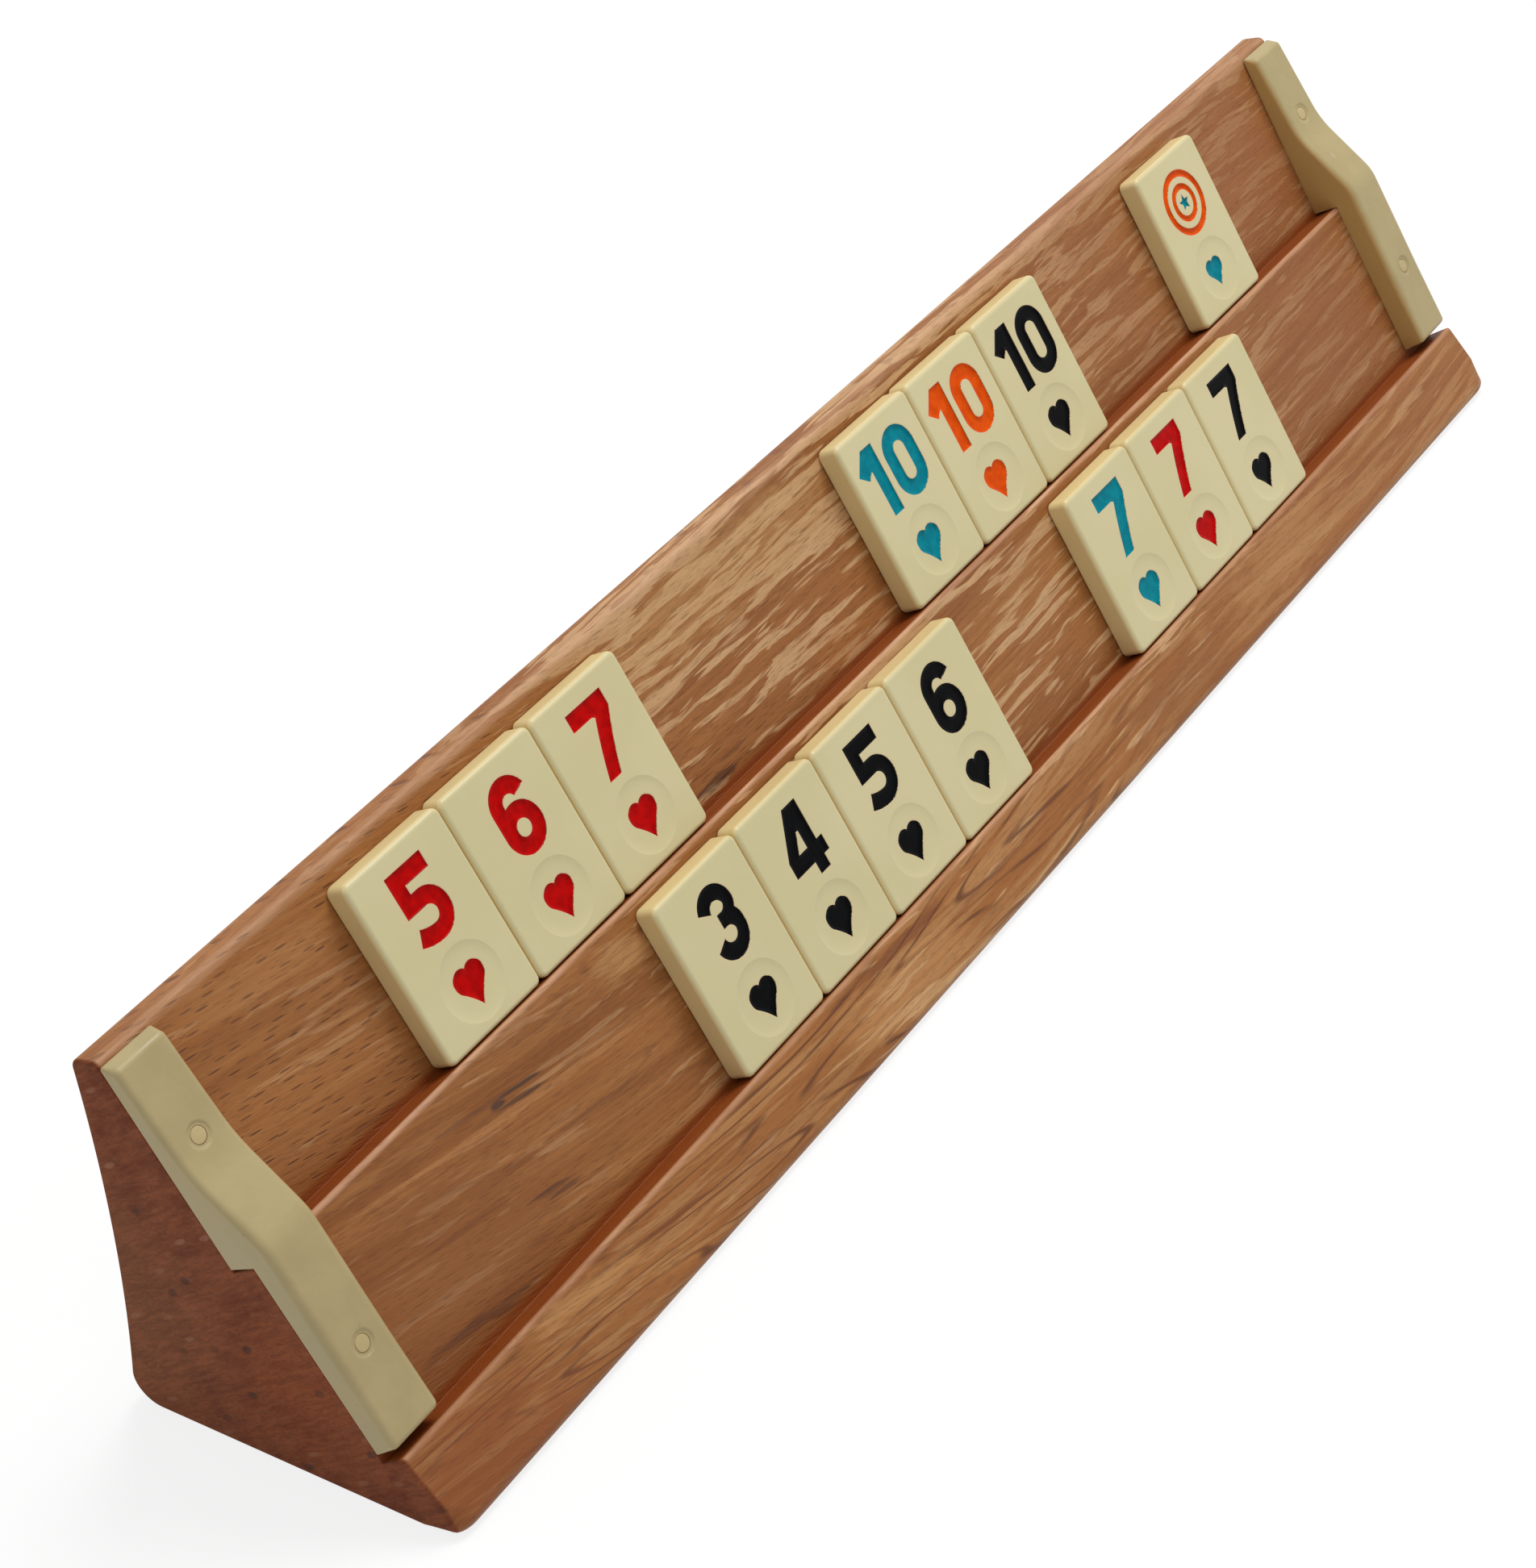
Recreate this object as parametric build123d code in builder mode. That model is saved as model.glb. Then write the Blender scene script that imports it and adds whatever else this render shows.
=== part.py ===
"""Two-tier wooden tile rack with end stops, pegs and fourteen engraved tiles, in millimetres.

+X runs along the rack, -Y is the player's side, +Z is up.
The origin is the middle of the base, on the surface the rack stands on.
"""

from build123d import *
from math import atan2, cos, degrees, radians, sin, tan
import os

os.makedirs("parts", exist_ok=True)

# ---------------------------------------------------------------- driving dimensions (mm, degrees)

# Rack: one profile, extruded along X. "forward" is towards the player, -Y.
RACK_LENGTH = 453.0
RACK_HEIGHT = 94.0
RACK_DEPTH = 82.0
TIER_SLOPE = 65.0            # both slanted faces, from the horizontal
UPPER_LEDGE_FORWARD = -0.45  # inner corner of the upper ledge
UPPER_LEDGE_HEIGHT = 51.0
TIER_DROP = 44.8             # from ledge to ledge, along the slope
LEDGE_DEPTH = 7.0            # upper ledge, square to the slope
LIP_DEPTH = 6.8              # lower ledge, square to the slope
HOOK_RISE = 0.8              # a ledge floor rises this much towards its front edge
TOP_LAND = 6.8
TOP_FALL = 1.6               # the land falls this much towards the back
BACK_HOLLOW = 2.7            # how far the back curves in ...
HOLLOW_HEIGHT = 0.42         # ... at this share of the height
NOSE_REACH = 2.47            # the sharp front corner stands this far past the rounded nose
FOOT_REACH = 1.87            # and the sharp back corner this far past the rounded foot
NOSE_RADIUS = 2.5
FOOT_RADIUS = 6.0
TOP_FRONT_RADIUS = 1.8
TOP_BACK_RADIUS = 2.6
LEDGE_EDGE_RADIUS = 0.8

# End stops: strips that follow both slanted faces.
STOP_WIDTH = 13.3
STOP_TOP_THICKNESS = 4.1     # at the top bevel; the upper arm tapers towards it
STOP_UPPER_THICKNESS = 5.8   # at the lower end of the upper arm
STOP_LOWER_THICKNESS = 6.7
STOP_TOP = 46.5              # along the slope, from the upper ledge's inner corner
STOP_TOP_BEVEL = 1.6
STOP_BOTTOM = -42.8
STOP_BOTTOM_BEVEL = 0.9
STOP_BEND_TOP = 21.5         # the front face swells from here ...
STOP_BEND_BOTTOM = 4.5       # ... to here, to pass over the ledge
STOP_EDGE_RADIUS = 1.4
STOP_SEAT = 0.05             # clearance over the ledge's front edge

# Pegs through the stops into blind holes in the wood.
PEG_RADIUS = 1.8
PEG_DEPTH_IN_WOOD = 10.0
PEG_SINK = 0.15              # the peg's end lies this far below the stop's face
PEG_RING_RADIUS = 2.7        # shallow recess around the peg
PEG_RING_DEPTH = 0.3
PEG_UPPER = 26.1             # along the slope, from the upper ledge's inner corner
PEG_LOWER = -21.9

# Tiles.
TILE_WIDTH = 29.05
TILE_HEIGHT = 42.3
TILE_THICKNESS = 5.9
TILE_GAP = 0.2               # between neighbours
TILE_REST = 0.1              # clearance to the slanted face behind and the ledge below
TILE_CORNER_RADIUS = 1.8
TILE_FRONT_RADIUS = 1.2
TILE_BACK_RADIUS = 0.6
DISH_RADIUS = 8.3
DISH_DEPTH = 0.45
DISH_HEIGHT = 10.5           # of the dish's centre, above the tile's bottom
NUMERAL_HEIGHT = 29.35       # of the numeral's middle, above the tile's bottom
ENGRAVING_DEPTH = 0.55
ENAMEL_THICKNESS = 0.35

# Numerals: one skeleton of stems and bowls, cut with one stroke.
STROKE = 3.75
CAP = 8.5                    # half the height of a numeral
BOWL_RADIUS = 3.77           # to the middle of the stroke
BOWL_CENTRE = CAP - STROKE / 2 - BOWL_RADIUS

# Groups of tiles that stand side by side: tier and left edge of the first tile, then for each
# tile its numeral, its enamel and how far numeral and heart are engraved right of the middle.
TILE_GROUPS = [
    ("upper", -166.5, [("5", "red", 0, 0.1), ("6", "red", 0.8, 0.25), ("7", "red", 0.2, 0)]),
    ("upper", 5.2, [("10", "teal", -1.2, -0.85), ("10", "orange", -1.05, -0.45),
                    ("10", "black", -0.75, 0)]),
    ("upper", 142.9, [("joker", "orange", -0.3, -0.65)]),
    ("lower", -110.8, [("3", "black", 0.5, 0.3), ("4", "black", 0.45, 0.2),
                       ("5", "black", -0.3, 0), ("6", "black", -0.2, -0.75)]),
    ("lower", 56.6, [("7", "teal", 0.2, -0.5), ("7", "red", -0.15, -0.75),
                     ("7", "black", -0.5, -0.45)]),
]

# ---------------------------------------------------------------- the slope and its planes

UPHILL = (-cos(radians(TIER_SLOPE)), sin(radians(TIER_SLOPE)))   # (forward, up)
OUTWARD = (sin(radians(TIER_SLOPE)), cos(radians(TIER_SLOPE)))
OUTWARD_3D = Vector(0, -OUTWARD[0], OUTWARD[1])
outward_axis = Axis(origin=(0, 0, 0), direction=OUTWARD_3D)


def on_slope(along, out):
    """(forward, up) of a point so far up the slope and out from it, from the upper ledge's corner."""
    return (
        UPPER_LEDGE_FORWARD + along * UPHILL[0] + out * OUTWARD[0],
        UPPER_LEDGE_HEIGHT + along * UPHILL[1] + out * OUTWARD[1],
    )


def slope_plane(x, along, out):
    """Plane parallel to the slanted faces: its x runs along the rack and its y up the slope."""
    forward, up = on_slope(along, out)
    return Plane(origin=(x, -forward, up), x_dir=(1, 0, 0), z_dir=OUTWARD_3D)


def peg_plane(x, along, out, tilt):
    """Plane of a stop's front face at a peg, which stands square to it."""
    return slope_plane(x, along, out).rotated((-degrees(tilt), 0, 0))


def profile_plane(x):
    """Cross-section plane: its x is forward and its y is up. It faces -X."""
    return Plane(origin=(x, 0, 0), x_dir=(0, -1, 0), z_dir=(-1, 0, 0))


# ---------------------------------------------------------------- rack body

top_of_slope = (RACK_HEIGHT - UPPER_LEDGE_HEIGHT) / UPHILL[1]
top_front = on_slope(top_of_slope, 0)
top_back = (top_front[0] - TOP_LAND, RACK_HEIGHT - TOP_FALL)
upper_corner = on_slope(0, 0)
upper_edge = on_slope(HOOK_RISE, LEDGE_DEPTH)
lower_corner = on_slope(-TIER_DROP, LEDGE_DEPTH)
lip_edge = on_slope(-TIER_DROP + HOOK_RISE, LEDGE_DEPTH + LIP_DEPTH)
nose = (RACK_DEPTH / 2 + NOSE_REACH, 0)
foot = (-RACK_DEPTH / 2 - FOOT_REACH, 0)
back_middle = (
    foot[0] + (top_back[0] - foot[0]) * HOLLOW_HEIGHT + BACK_HOLLOW,
    top_back[1] * HOLLOW_HEIGHT,
)
stop_centre_x = (RACK_LENGTH - STOP_WIDTH) / 2
stop_front_lower = LEDGE_DEPTH + STOP_LOWER_THICKNESS

# Upper arm of a stop: its front face leans back by the taper.
arm_length = STOP_TOP - STOP_TOP_BEVEL - STOP_BEND_TOP
arm_taper = atan2(STOP_UPPER_THICKNESS - STOP_TOP_THICKNESS, arm_length)
wall_at_upper_peg = STOP_UPPER_THICKNESS - (PEG_UPPER - STOP_BEND_TOP) * tan(arm_taper)

# Pegs: tier, height along the slope, the stop's front face there, its wall and its tilt.
peg_seats = [
    ("upper", PEG_UPPER, wall_at_upper_peg, wall_at_upper_peg, arm_taper),
    ("lower", PEG_LOWER, stop_front_lower, STOP_LOWER_THICKNESS, 0),
]

with BuildPart() as rack_body:
    with BuildSketch(profile_plane(0)) as rack_profile:
        with BuildLine():
            Polyline(top_back, top_front, upper_corner, upper_edge, lower_corner, lip_edge, nose, foot)
            ThreePointArc(foot, back_middle, top_back)
        make_face()
        corners = rack_profile.vertices()
        fillet(corners.sort_by_distance((*nose, 0))[0], NOSE_RADIUS)
    extrude(amount=RACK_LENGTH / 2, both=True)

    long_edges = rack_body.edges().filter_by(Axis.X)

    def edge_at(point):
        return long_edges.sort_by_distance((0, -point[0], point[1]))[0]

    fillet(edge_at(foot), FOOT_RADIUS)
    long_edges = rack_body.edges().filter_by(Axis.X)
    fillet(edge_at(top_front), TOP_FRONT_RADIUS)
    long_edges = rack_body.edges().filter_by(Axis.X)
    fillet(edge_at(top_back), TOP_BACK_RADIUS)
    long_edges = rack_body.edges().filter_by(Axis.X)
    fillet([edge_at(upper_edge), edge_at(lip_edge)], LEDGE_EDGE_RADIUS)

    for _, along, out, wall, tilt in peg_seats:
        with BuildSketch(peg_plane(0, along, out, tilt)):
            with GridLocations(2 * stop_centre_x, 0, 2, 1):
                Circle(PEG_RADIUS)
        extrude(amount=-wall - PEG_DEPTH_IN_WOOD, mode=Mode.SUBTRACT)

rack_body.part.label = "rack_body"
export_step(rack_body.part, "parts/rack_body.step")

# ---------------------------------------------------------------- end stops and pegs

ledge_seat = HOOK_RISE + STOP_SEAT
top_bend = (STOP_TOP - STOP_TOP_BEVEL, STOP_TOP_THICKNESS)
swell_start = (STOP_BEND_TOP, STOP_UPPER_THICKNESS)
swell_end = (STOP_BEND_BOTTOM, stop_front_lower)
bottom_bend = (STOP_BOTTOM + STOP_BOTTOM_BEVEL, stop_front_lower)

for side, direction in (("left", -1), ("right", 1)):
    with BuildPart() as end_stop:
        with BuildSketch(profile_plane(direction * RACK_LENGTH / 2)) as stop_profile:
            with BuildLine():
                Polyline(
                    on_slope(ledge_seat, 0),
                    on_slope(STOP_TOP, 0),
                    on_slope(*top_bend),
                    on_slope(*swell_start),
                    on_slope(*swell_end),
                    on_slope(*bottom_bend),
                    on_slope(STOP_BOTTOM, LEDGE_DEPTH),
                    on_slope(ledge_seat, LEDGE_DEPTH),
                    close=True,
                )
            make_face()
            bends = {top_bend: 1.5, swell_start: 25.0, swell_end: 12.0, bottom_bend: 1.5}
            for place, bend_radius in bends.items():
                corner = stop_profile.vertices().sort_by_distance((*on_slope(*place), 0))[0]
                fillet(corner, bend_radius)
        extrude(amount=direction * STOP_WIDTH)

        outer_faces = end_stop.faces().filter_by(Axis.X)
        outer_edges = outer_faces.edges()
        # The long front edges of both side faces are eased, from the top bevel to the bottom end.
        upper_middle = on_slope((top_bend[0] + swell_start[0]) / 2, (top_bend[1] + swell_start[1]) / 2)
        lower_middle = on_slope((swell_end[0] + bottom_bend[0]) / 2, stop_front_lower)

        def is_long_front_edge(edge):
            middle = edge.center()
            return any(
                Vector(0, middle.Y + forward, middle.Z - up).length < 3.0
                for forward, up in (upper_middle, lower_middle)
            )

        fillet(outer_edges.filter_by(is_long_front_edge), STOP_EDGE_RADIUS)

        for _, along, out, wall, tilt in peg_seats:
            with BuildSketch(peg_plane(direction * stop_centre_x, along, out, tilt)):
                Circle(PEG_RING_RADIUS)
            extrude(amount=-PEG_RING_DEPTH, mode=Mode.SUBTRACT)
            with BuildSketch(peg_plane(direction * stop_centre_x, along, out, tilt)):
                Circle(PEG_RADIUS)
            extrude(amount=-wall - 1, mode=Mode.SUBTRACT)

    end_stop.part.label = f"{side}_end_stop"
    export_step(end_stop.part, f"parts/{side}_end_stop.step")

    for tier, along, out, wall, tilt in peg_seats:
        peg_length = wall + PEG_DEPTH_IN_WOOD - PEG_SINK
        with BuildPart() as peg:
            with BuildSketch(peg_plane(direction * stop_centre_x, along, out, tilt).offset(-PEG_SINK)):
                Circle(PEG_RADIUS)
            extrude(amount=-peg_length)
            chamfer(peg.faces().sort_by(outward_axis)[-1].edges(), 0.25)
        peg.part.label = f"{side}_{tier}_peg"
        export_step(peg.part, f"parts/{side}_{tier}_peg.step")

# ---------------------------------------------------------------- numerals, heart and rings
# Each function draws one engraving as a sketch about its own middle, x to the right and y up.


def numeral_0():
    with BuildSketch() as glyph:
        SlotCenterToCenter(2 * BOWL_CENTRE, 2 * BOWL_RADIUS + STROKE, rotation=90)
        SlotCenterToCenter(2 * BOWL_CENTRE, 2 * BOWL_RADIUS - STROKE, rotation=90, mode=Mode.SUBTRACT)
    return glyph.sketch


def numeral_1():
    half = STROKE / 2
    with BuildSketch() as glyph:
        with BuildLine():
            Polyline(
                (half, CAP), (half, -CAP), (-half, -CAP), (-half, 2.9), (-half - 0.35, 3.0),
                (-3.8, 1.5), (-6.5, 3.8), (-2.4, CAP), close=True,
            )
        make_face()
    return glyph.sketch


def numeral_10():
    with BuildSketch() as glyph:
        with Locations((-4.25, 0)):
            add(numeral_1())
        with Locations((5.15, 0)):
            add(numeral_0())
    return glyph.sketch


def numeral_3():
    tip, neck = 5.4, 0.95
    with BuildSketch() as glyph:
        with BuildLine():
            ThreePointArc((-tip, 4.6), (0, CAP), (5.3, 3.9))
            ThreePointArc((5.3, 3.9), (5.25, 2.2), (4.5, 0.8))
            ThreePointArc((4.5, 0.8), (5.25, -0.8), (5.4, -2.7))
            ThreePointArc((5.4, -2.7), (0, -CAP), (-tip, -4.6))
            Line((-tip, -4.6), (-2.0, -2.9))
            ThreePointArc((-2.0, -2.9), (0, -4.75), (2.05, -2.9))
            ThreePointArc((2.05, -2.9), (1.5, -1.8), (0.3, -1.4))
            Polyline((0.3, -1.4), (-neck, -1.4), (-neck, 2.0), (0.3, 2.0))
            ThreePointArc((0.3, 2.0), (1.5, 2.35), (2.05, 3.3))
            ThreePointArc((2.05, 3.3), (0, 4.85), (-2.0, 2.9))
            Line((-2.0, 2.9), (-tip, 4.6))
        make_face()
    return glyph.sketch


def numeral_4():
    bar_top, bar_bottom = -1.8, -5.6
    with BuildSketch() as glyph:
        with BuildLine():
            Polyline(
                (-0.7, CAP), (4.2, CAP), (4.2, bar_top), (6.1, bar_top), (6.1, bar_bottom),
                (4.2, bar_bottom), (4.2, -CAP), (0.6, -CAP), (0.6, bar_bottom), (-6.1, bar_bottom),
                (-6.1, bar_top + 0.2), close=True,
            )
        make_face()
        with BuildLine():
            Polyline((0.0, 2.5), (0.6, 2.5), (0.6, bar_top), (-2.3, bar_top), close=True)
        make_face(mode=Mode.SUBTRACT)
    return glyph.sketch


def numeral_5():
    stem, bar = -5.4 + STROKE / 2, CAP - STROKE / 2
    bowl_top, bowl_bottom = BOWL_RADIUS - BOWL_CENTRE, -BOWL_RADIUS - BOWL_CENTRE
    with BuildSketch() as glyph:
        with BuildLine():
            Polyline((5.35, bar), (stem, bar), (stem, bowl_top), (0.1, bowl_top))
        trace(line_width=STROKE)
        with BuildLine():
            ThreePointArc((0.1, bowl_top), (0.1 + BOWL_RADIUS, -BOWL_CENTRE), (0.1, bowl_bottom))
        trace(line_width=STROKE)
        with BuildLine():
            TangentArc((0.1, bowl_bottom), (-5.15, -5.4), tangent=(-1, 0))
        trace(line_width=STROKE)
    return glyph.sketch


def numeral_6():
    with BuildSketch() as glyph:
        with Locations((0, -BOWL_CENTRE)):
            Circle(BOWL_RADIUS + STROKE / 2)
        with BuildLine():
            CenterArc((0, BOWL_CENTRE), BOWL_RADIUS, 18, 162)
        trace(line_width=STROKE)
        with Locations((-BOWL_RADIUS, 0)):
            Rectangle(STROKE, 2 * BOWL_CENTRE)
        with Locations((0, -BOWL_CENTRE)):
            Circle(BOWL_RADIUS - STROKE / 2, mode=Mode.SUBTRACT)
    return glyph.sketch


def numeral_7():
    with BuildSketch() as glyph:
        with BuildLine():
            Polyline(
                (1.0, 4.1), (0.3, CAP - 3.95), (-5.85, CAP - 3.95), (-5.85, CAP), (5.9, CAP), (5.9, 4.4),
            )
            ThreePointArc((5.9, 4.4), (2.6, -1.75), (-0.2, -CAP))
            Line((-0.2, -CAP), (-4.1, -CAP))
            ThreePointArc((-4.1, -CAP), (-1.7, -1.9), (1.0, 4.1))
        make_face()
    return glyph.sketch


def joker_rings():
    with BuildSketch() as glyph:
        for outer, inner in ((8.45, 6.6), (4.95, 3.35)):
            Circle(outer)
            Circle(inner, mode=Mode.SUBTRACT)
    return glyph.sketch


def joker_star():
    points = []
    for i in range(10):
        reach, turn = (2.25, 1.05)[i % 2], radians(90 + 36 * i)
        points.append((reach * cos(turn), reach * sin(turn)))
    with BuildSketch() as glyph:
        with BuildLine():
            Polyline(*points, close=True)
        make_face()
    return glyph.sketch


def heart(size=1.0):
    notch, tip = (0, 3.0 * size), (0, -5.3 * size)
    with BuildSketch() as glyph:
        with BuildLine():
            for side in (1, -1):
                lobe, shoulder, flank, waist, belly, low = [
                    (side * x * size, y * size) for x, y in
                    ((1.95, 3.7), (3.35, 3.05), (4.15, 2.15), (4.3, 1.1), (4.15, 0.1), (3.5, -0.95))
                ]
                ThreePointArc(notch, lobe, shoulder)
                ThreePointArc(shoulder, flank, waist)
                ThreePointArc(waist, belly, low)
                ThreePointArc(low, (side * 1.55 * size, -3.05 * size), tip)
        make_face()
    return glyph.sketch


NUMERALS = {
    "3": numeral_3, "4": numeral_4, "5": numeral_5, "6": numeral_6, "7": numeral_7,
    "10": numeral_10, "joker": joker_rings,
}

# ---------------------------------------------------------------- tiles and their enamel

dish_sphere_radius = (DISH_RADIUS**2 + DISH_DEPTH**2) / (2 * DISH_DEPTH)
floor_under_tile = HOOK_RISE * (TILE_THICKNESS + TILE_REST) / LEDGE_DEPTH
tile_foot = {"upper": (floor_under_tile + TILE_REST, TILE_REST),
             "lower": (floor_under_tile + TILE_REST - TIER_DROP, LEDGE_DEPTH + TILE_REST)}


def export_enamel(name, number_plane, heart_plane, number, small_sign):
    """Enamel that partly fills the engraved recesses of one tile."""
    with BuildPart() as enamel:
        if number:
            with BuildSketch(number_plane.offset(-ENGRAVING_DEPTH)):
                add(number)
            extrude(amount=ENAMEL_THICKNESS)
        if small_sign:
            with BuildSketch(heart_plane.offset(-ENGRAVING_DEPTH - DISH_DEPTH)):
                add(small_sign)
            extrude(amount=ENAMEL_THICKNESS)
    enamel.part.label = name
    export_step(enamel.part, f"parts/{name}.step")


for tier, group_left, members in TILE_GROUPS:
    for place, (value, colour, number_shift, heart_shift) in enumerate(members):
        along, out = tile_foot[tier]
        tile_x = group_left + place * (TILE_WIDTH + TILE_GAP) + TILE_WIDTH / 2
        back_plane = slope_plane(tile_x, along + TILE_HEIGHT / 2, out)
        dish_plane = slope_plane(tile_x, along + DISH_HEIGHT, out + TILE_THICKNESS)
        number_plane = slope_plane(tile_x + number_shift, along + NUMERAL_HEIGHT, out + TILE_THICKNESS)
        heart_plane = slope_plane(tile_x + heart_shift, along + DISH_HEIGHT, out + TILE_THICKNESS)
        number = NUMERALS[value]()
        heart_shape = heart(0.82) if value == "joker" else heart()

        with BuildPart() as tile:
            with BuildSketch(back_plane):
                RectangleRounded(TILE_WIDTH, TILE_HEIGHT, TILE_CORNER_RADIUS)
            extrude(amount=TILE_THICKNESS)
            back_face, front_face = tile.faces().filter_by(back_plane).sort_by(outward_axis)
            fillet(front_face.edges(), TILE_FRONT_RADIUS)
            fillet(back_face.edges(), TILE_BACK_RADIUS)
            with Locations(dish_plane.offset(dish_sphere_radius - DISH_DEPTH)):
                Sphere(dish_sphere_radius, mode=Mode.SUBTRACT)
            with BuildSketch(number_plane):
                add(number)
                if value == "joker":
                    add(joker_star())
            extrude(amount=-ENGRAVING_DEPTH, mode=Mode.SUBTRACT)
            with BuildSketch(heart_plane):
                add(heart_shape)
            extrude(amount=-ENGRAVING_DEPTH - DISH_DEPTH, mode=Mode.SUBTRACT)

        tile_name = f"{tier}_tile_{value}" if value == "joker" else f"{tier}_tile_{colour}_{value}"
        tile.part.label = tile_name
        export_step(tile.part, f"parts/{tile_name}.step")

        enamel_name = tile_name.replace("tile", "enamel")
        if value == "joker":
            export_enamel(f"{enamel_name}_rings", number_plane, heart_plane, number, None)
            export_enamel(f"{enamel_name}_star", number_plane, heart_plane, joker_star(), heart_shape)
        else:
            export_enamel(enamel_name, number_plane, heart_plane, number, heart_shape)

print("rack profile corners (forward, up):", top_back, top_front, upper_edge, lower_corner, lip_edge)
box = rack_body.part.bounding_box()
for axis, low, high in zip("XYZ", box.min, box.max):
    print(f"rack {axis} {low:.2f} to {high:.2f}")
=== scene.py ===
# %% [markdown]
# # Dressing a two-tier tile rack
# The rack is one long block of stained beech with two slanted tiers. Ivory tiles with engraved,
# painted numerals lean on the tiers, and a moulded plastic stop closes each end. The CAD model
# already gives every size and every moving body, so this script builds the looks around it:
# finer meshes, materials, a camera and plain light.

# %% Load the CAD frame
import math

import bmesh
import bpy
import numpy as np
from mathutils import Matrix, Vector
from mathutils.geometry import delaunay_2d_cdt


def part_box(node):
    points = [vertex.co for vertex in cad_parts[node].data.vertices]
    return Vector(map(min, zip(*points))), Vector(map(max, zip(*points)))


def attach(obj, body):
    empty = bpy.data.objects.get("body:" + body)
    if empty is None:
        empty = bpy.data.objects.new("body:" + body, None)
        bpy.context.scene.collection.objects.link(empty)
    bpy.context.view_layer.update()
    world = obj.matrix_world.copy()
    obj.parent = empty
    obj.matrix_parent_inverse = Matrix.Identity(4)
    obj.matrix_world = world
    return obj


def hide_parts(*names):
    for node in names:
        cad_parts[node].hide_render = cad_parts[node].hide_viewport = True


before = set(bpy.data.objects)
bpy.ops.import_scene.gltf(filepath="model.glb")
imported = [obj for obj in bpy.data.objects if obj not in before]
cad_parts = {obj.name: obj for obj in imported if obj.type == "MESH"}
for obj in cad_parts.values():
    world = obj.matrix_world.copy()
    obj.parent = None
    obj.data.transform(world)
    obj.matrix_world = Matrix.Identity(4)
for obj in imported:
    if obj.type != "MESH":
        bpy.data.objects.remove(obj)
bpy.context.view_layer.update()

# %% [markdown]
# ## The slope and its own ruler
# Everything on the rack lies on faces that lean back at 65 degrees. It is easier to think in
# the slope's own directions: x along the rack, "along" up the slope and "out" square to it.
# They start at the inner corner of the upper ledge, in millimetres. Blender wants metres in the
# row frame, so one matrix does the change, and pieces are modelled in slope millimetres.

# %% Directions on the slope
MM = 0.001
SLOPE = math.radians(65)
ALONG_X = Vector((1, 0, 0))
UPHILL = Vector((0, math.cos(SLOPE), math.sin(SLOPE)))
OUTWARD = Vector((0, -math.sin(SLOPE), math.cos(SLOPE)))
UPPER_CORNER = Vector((0, 0.45, 51.0))
TIER_DROP = 44.8
LEDGE_DEPTH = 7.0
LIP_DEPTH = 6.8
HOOK_RISE = 0.8


def slope_matrix(x, along, out):
    """From slope millimetres about a point of the slope to metres in the row frame."""
    turn = Matrix((ALONG_X, UPHILL, OUTWARD)).transposed()
    place = ALONG_X * x + UPPER_CORNER + UPHILL * along + OUTWARD * out
    return Matrix.Translation(place * MM) @ (turn * MM).to_4x4()


def forward_up(along, out):
    """(forward, up) of a slope point in the rack's cross-section, in millimetres."""
    place = UPPER_CORNER + UPHILL * along + OUTWARD * out
    return -place.y, place.z


print("upper ledge edge at", forward_up(HOOK_RISE, LEDGE_DEPTH))

# %% [markdown]
# ## Small helpers
# Every piece is a mesh object at the origin whose place is in its vertices, as the CAD nodes'
# are. A node tree is quicker to read when each node is one line, so a tiny builder adds a node,
# sets its options and plugs its inputs in one call. It serves materials and Geometry Nodes alike.

# %% Pieces from plain meshes
def new_object(name, data):
    thing = bpy.data.objects.new(name, data)
    bpy.context.scene.collection.objects.link(thing)
    return thing


def add_piece(name, mesh, body, nodes, material=None):
    """Links a mesh as a piece that rides on a body and stands for CAD nodes."""
    piece = new_object(name, mesh)
    if material:
        mesh.materials.clear()
        mesh.materials.append(material)
    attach(piece, body)
    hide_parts(*nodes)


def shade_smooth(mesh):
    mesh.polygons.foreach_set("use_smooth", [True] * len(mesh.polygons))


def plain_mesh(name, verts, faces):
    mesh = bpy.data.meshes.new(name)
    mesh.from_pydata([tuple(v) for v in verts], [], faces)
    mesh.validate()
    shade_smooth(mesh)
    return mesh


def store_floats(mesh, name, values):
    """Gives each point of a mesh one number, which a node tree can read by its name."""
    mesh.attributes.new(name, "FLOAT", "POINT").data.foreach_set("value", values)


def evaluated_copy(thing, name, drop=()):
    """A plain mesh of an object with its modifiers applied. The object is removed."""
    graph = bpy.context.evaluated_depsgraph_get()
    mesh = bpy.data.meshes.new_from_object(thing.evaluated_get(graph), depsgraph=graph)
    mesh.name = name
    bpy.data.objects.remove(thing)
    for label in drop:
        if label in mesh.attributes:
            mesh.attributes.remove(mesh.attributes[label])
    return mesh


def tidy_normals(mesh, sharp_degrees):
    """Welds doubles, turns faces outwards and keeps only real corners sharp."""
    bm = bmesh.new()
    bm.from_mesh(mesh)
    bmesh.ops.remove_doubles(bm, verts=bm.verts, dist=1e-6)
    bmesh.ops.recalc_face_normals(bm, faces=bm.faces)
    bm.to_mesh(mesh)
    bm.free()
    shade_smooth(mesh)
    mesh.set_sharp_from_angle(angle=math.radians(sharp_degrees))


print("piece helpers ready")

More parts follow.
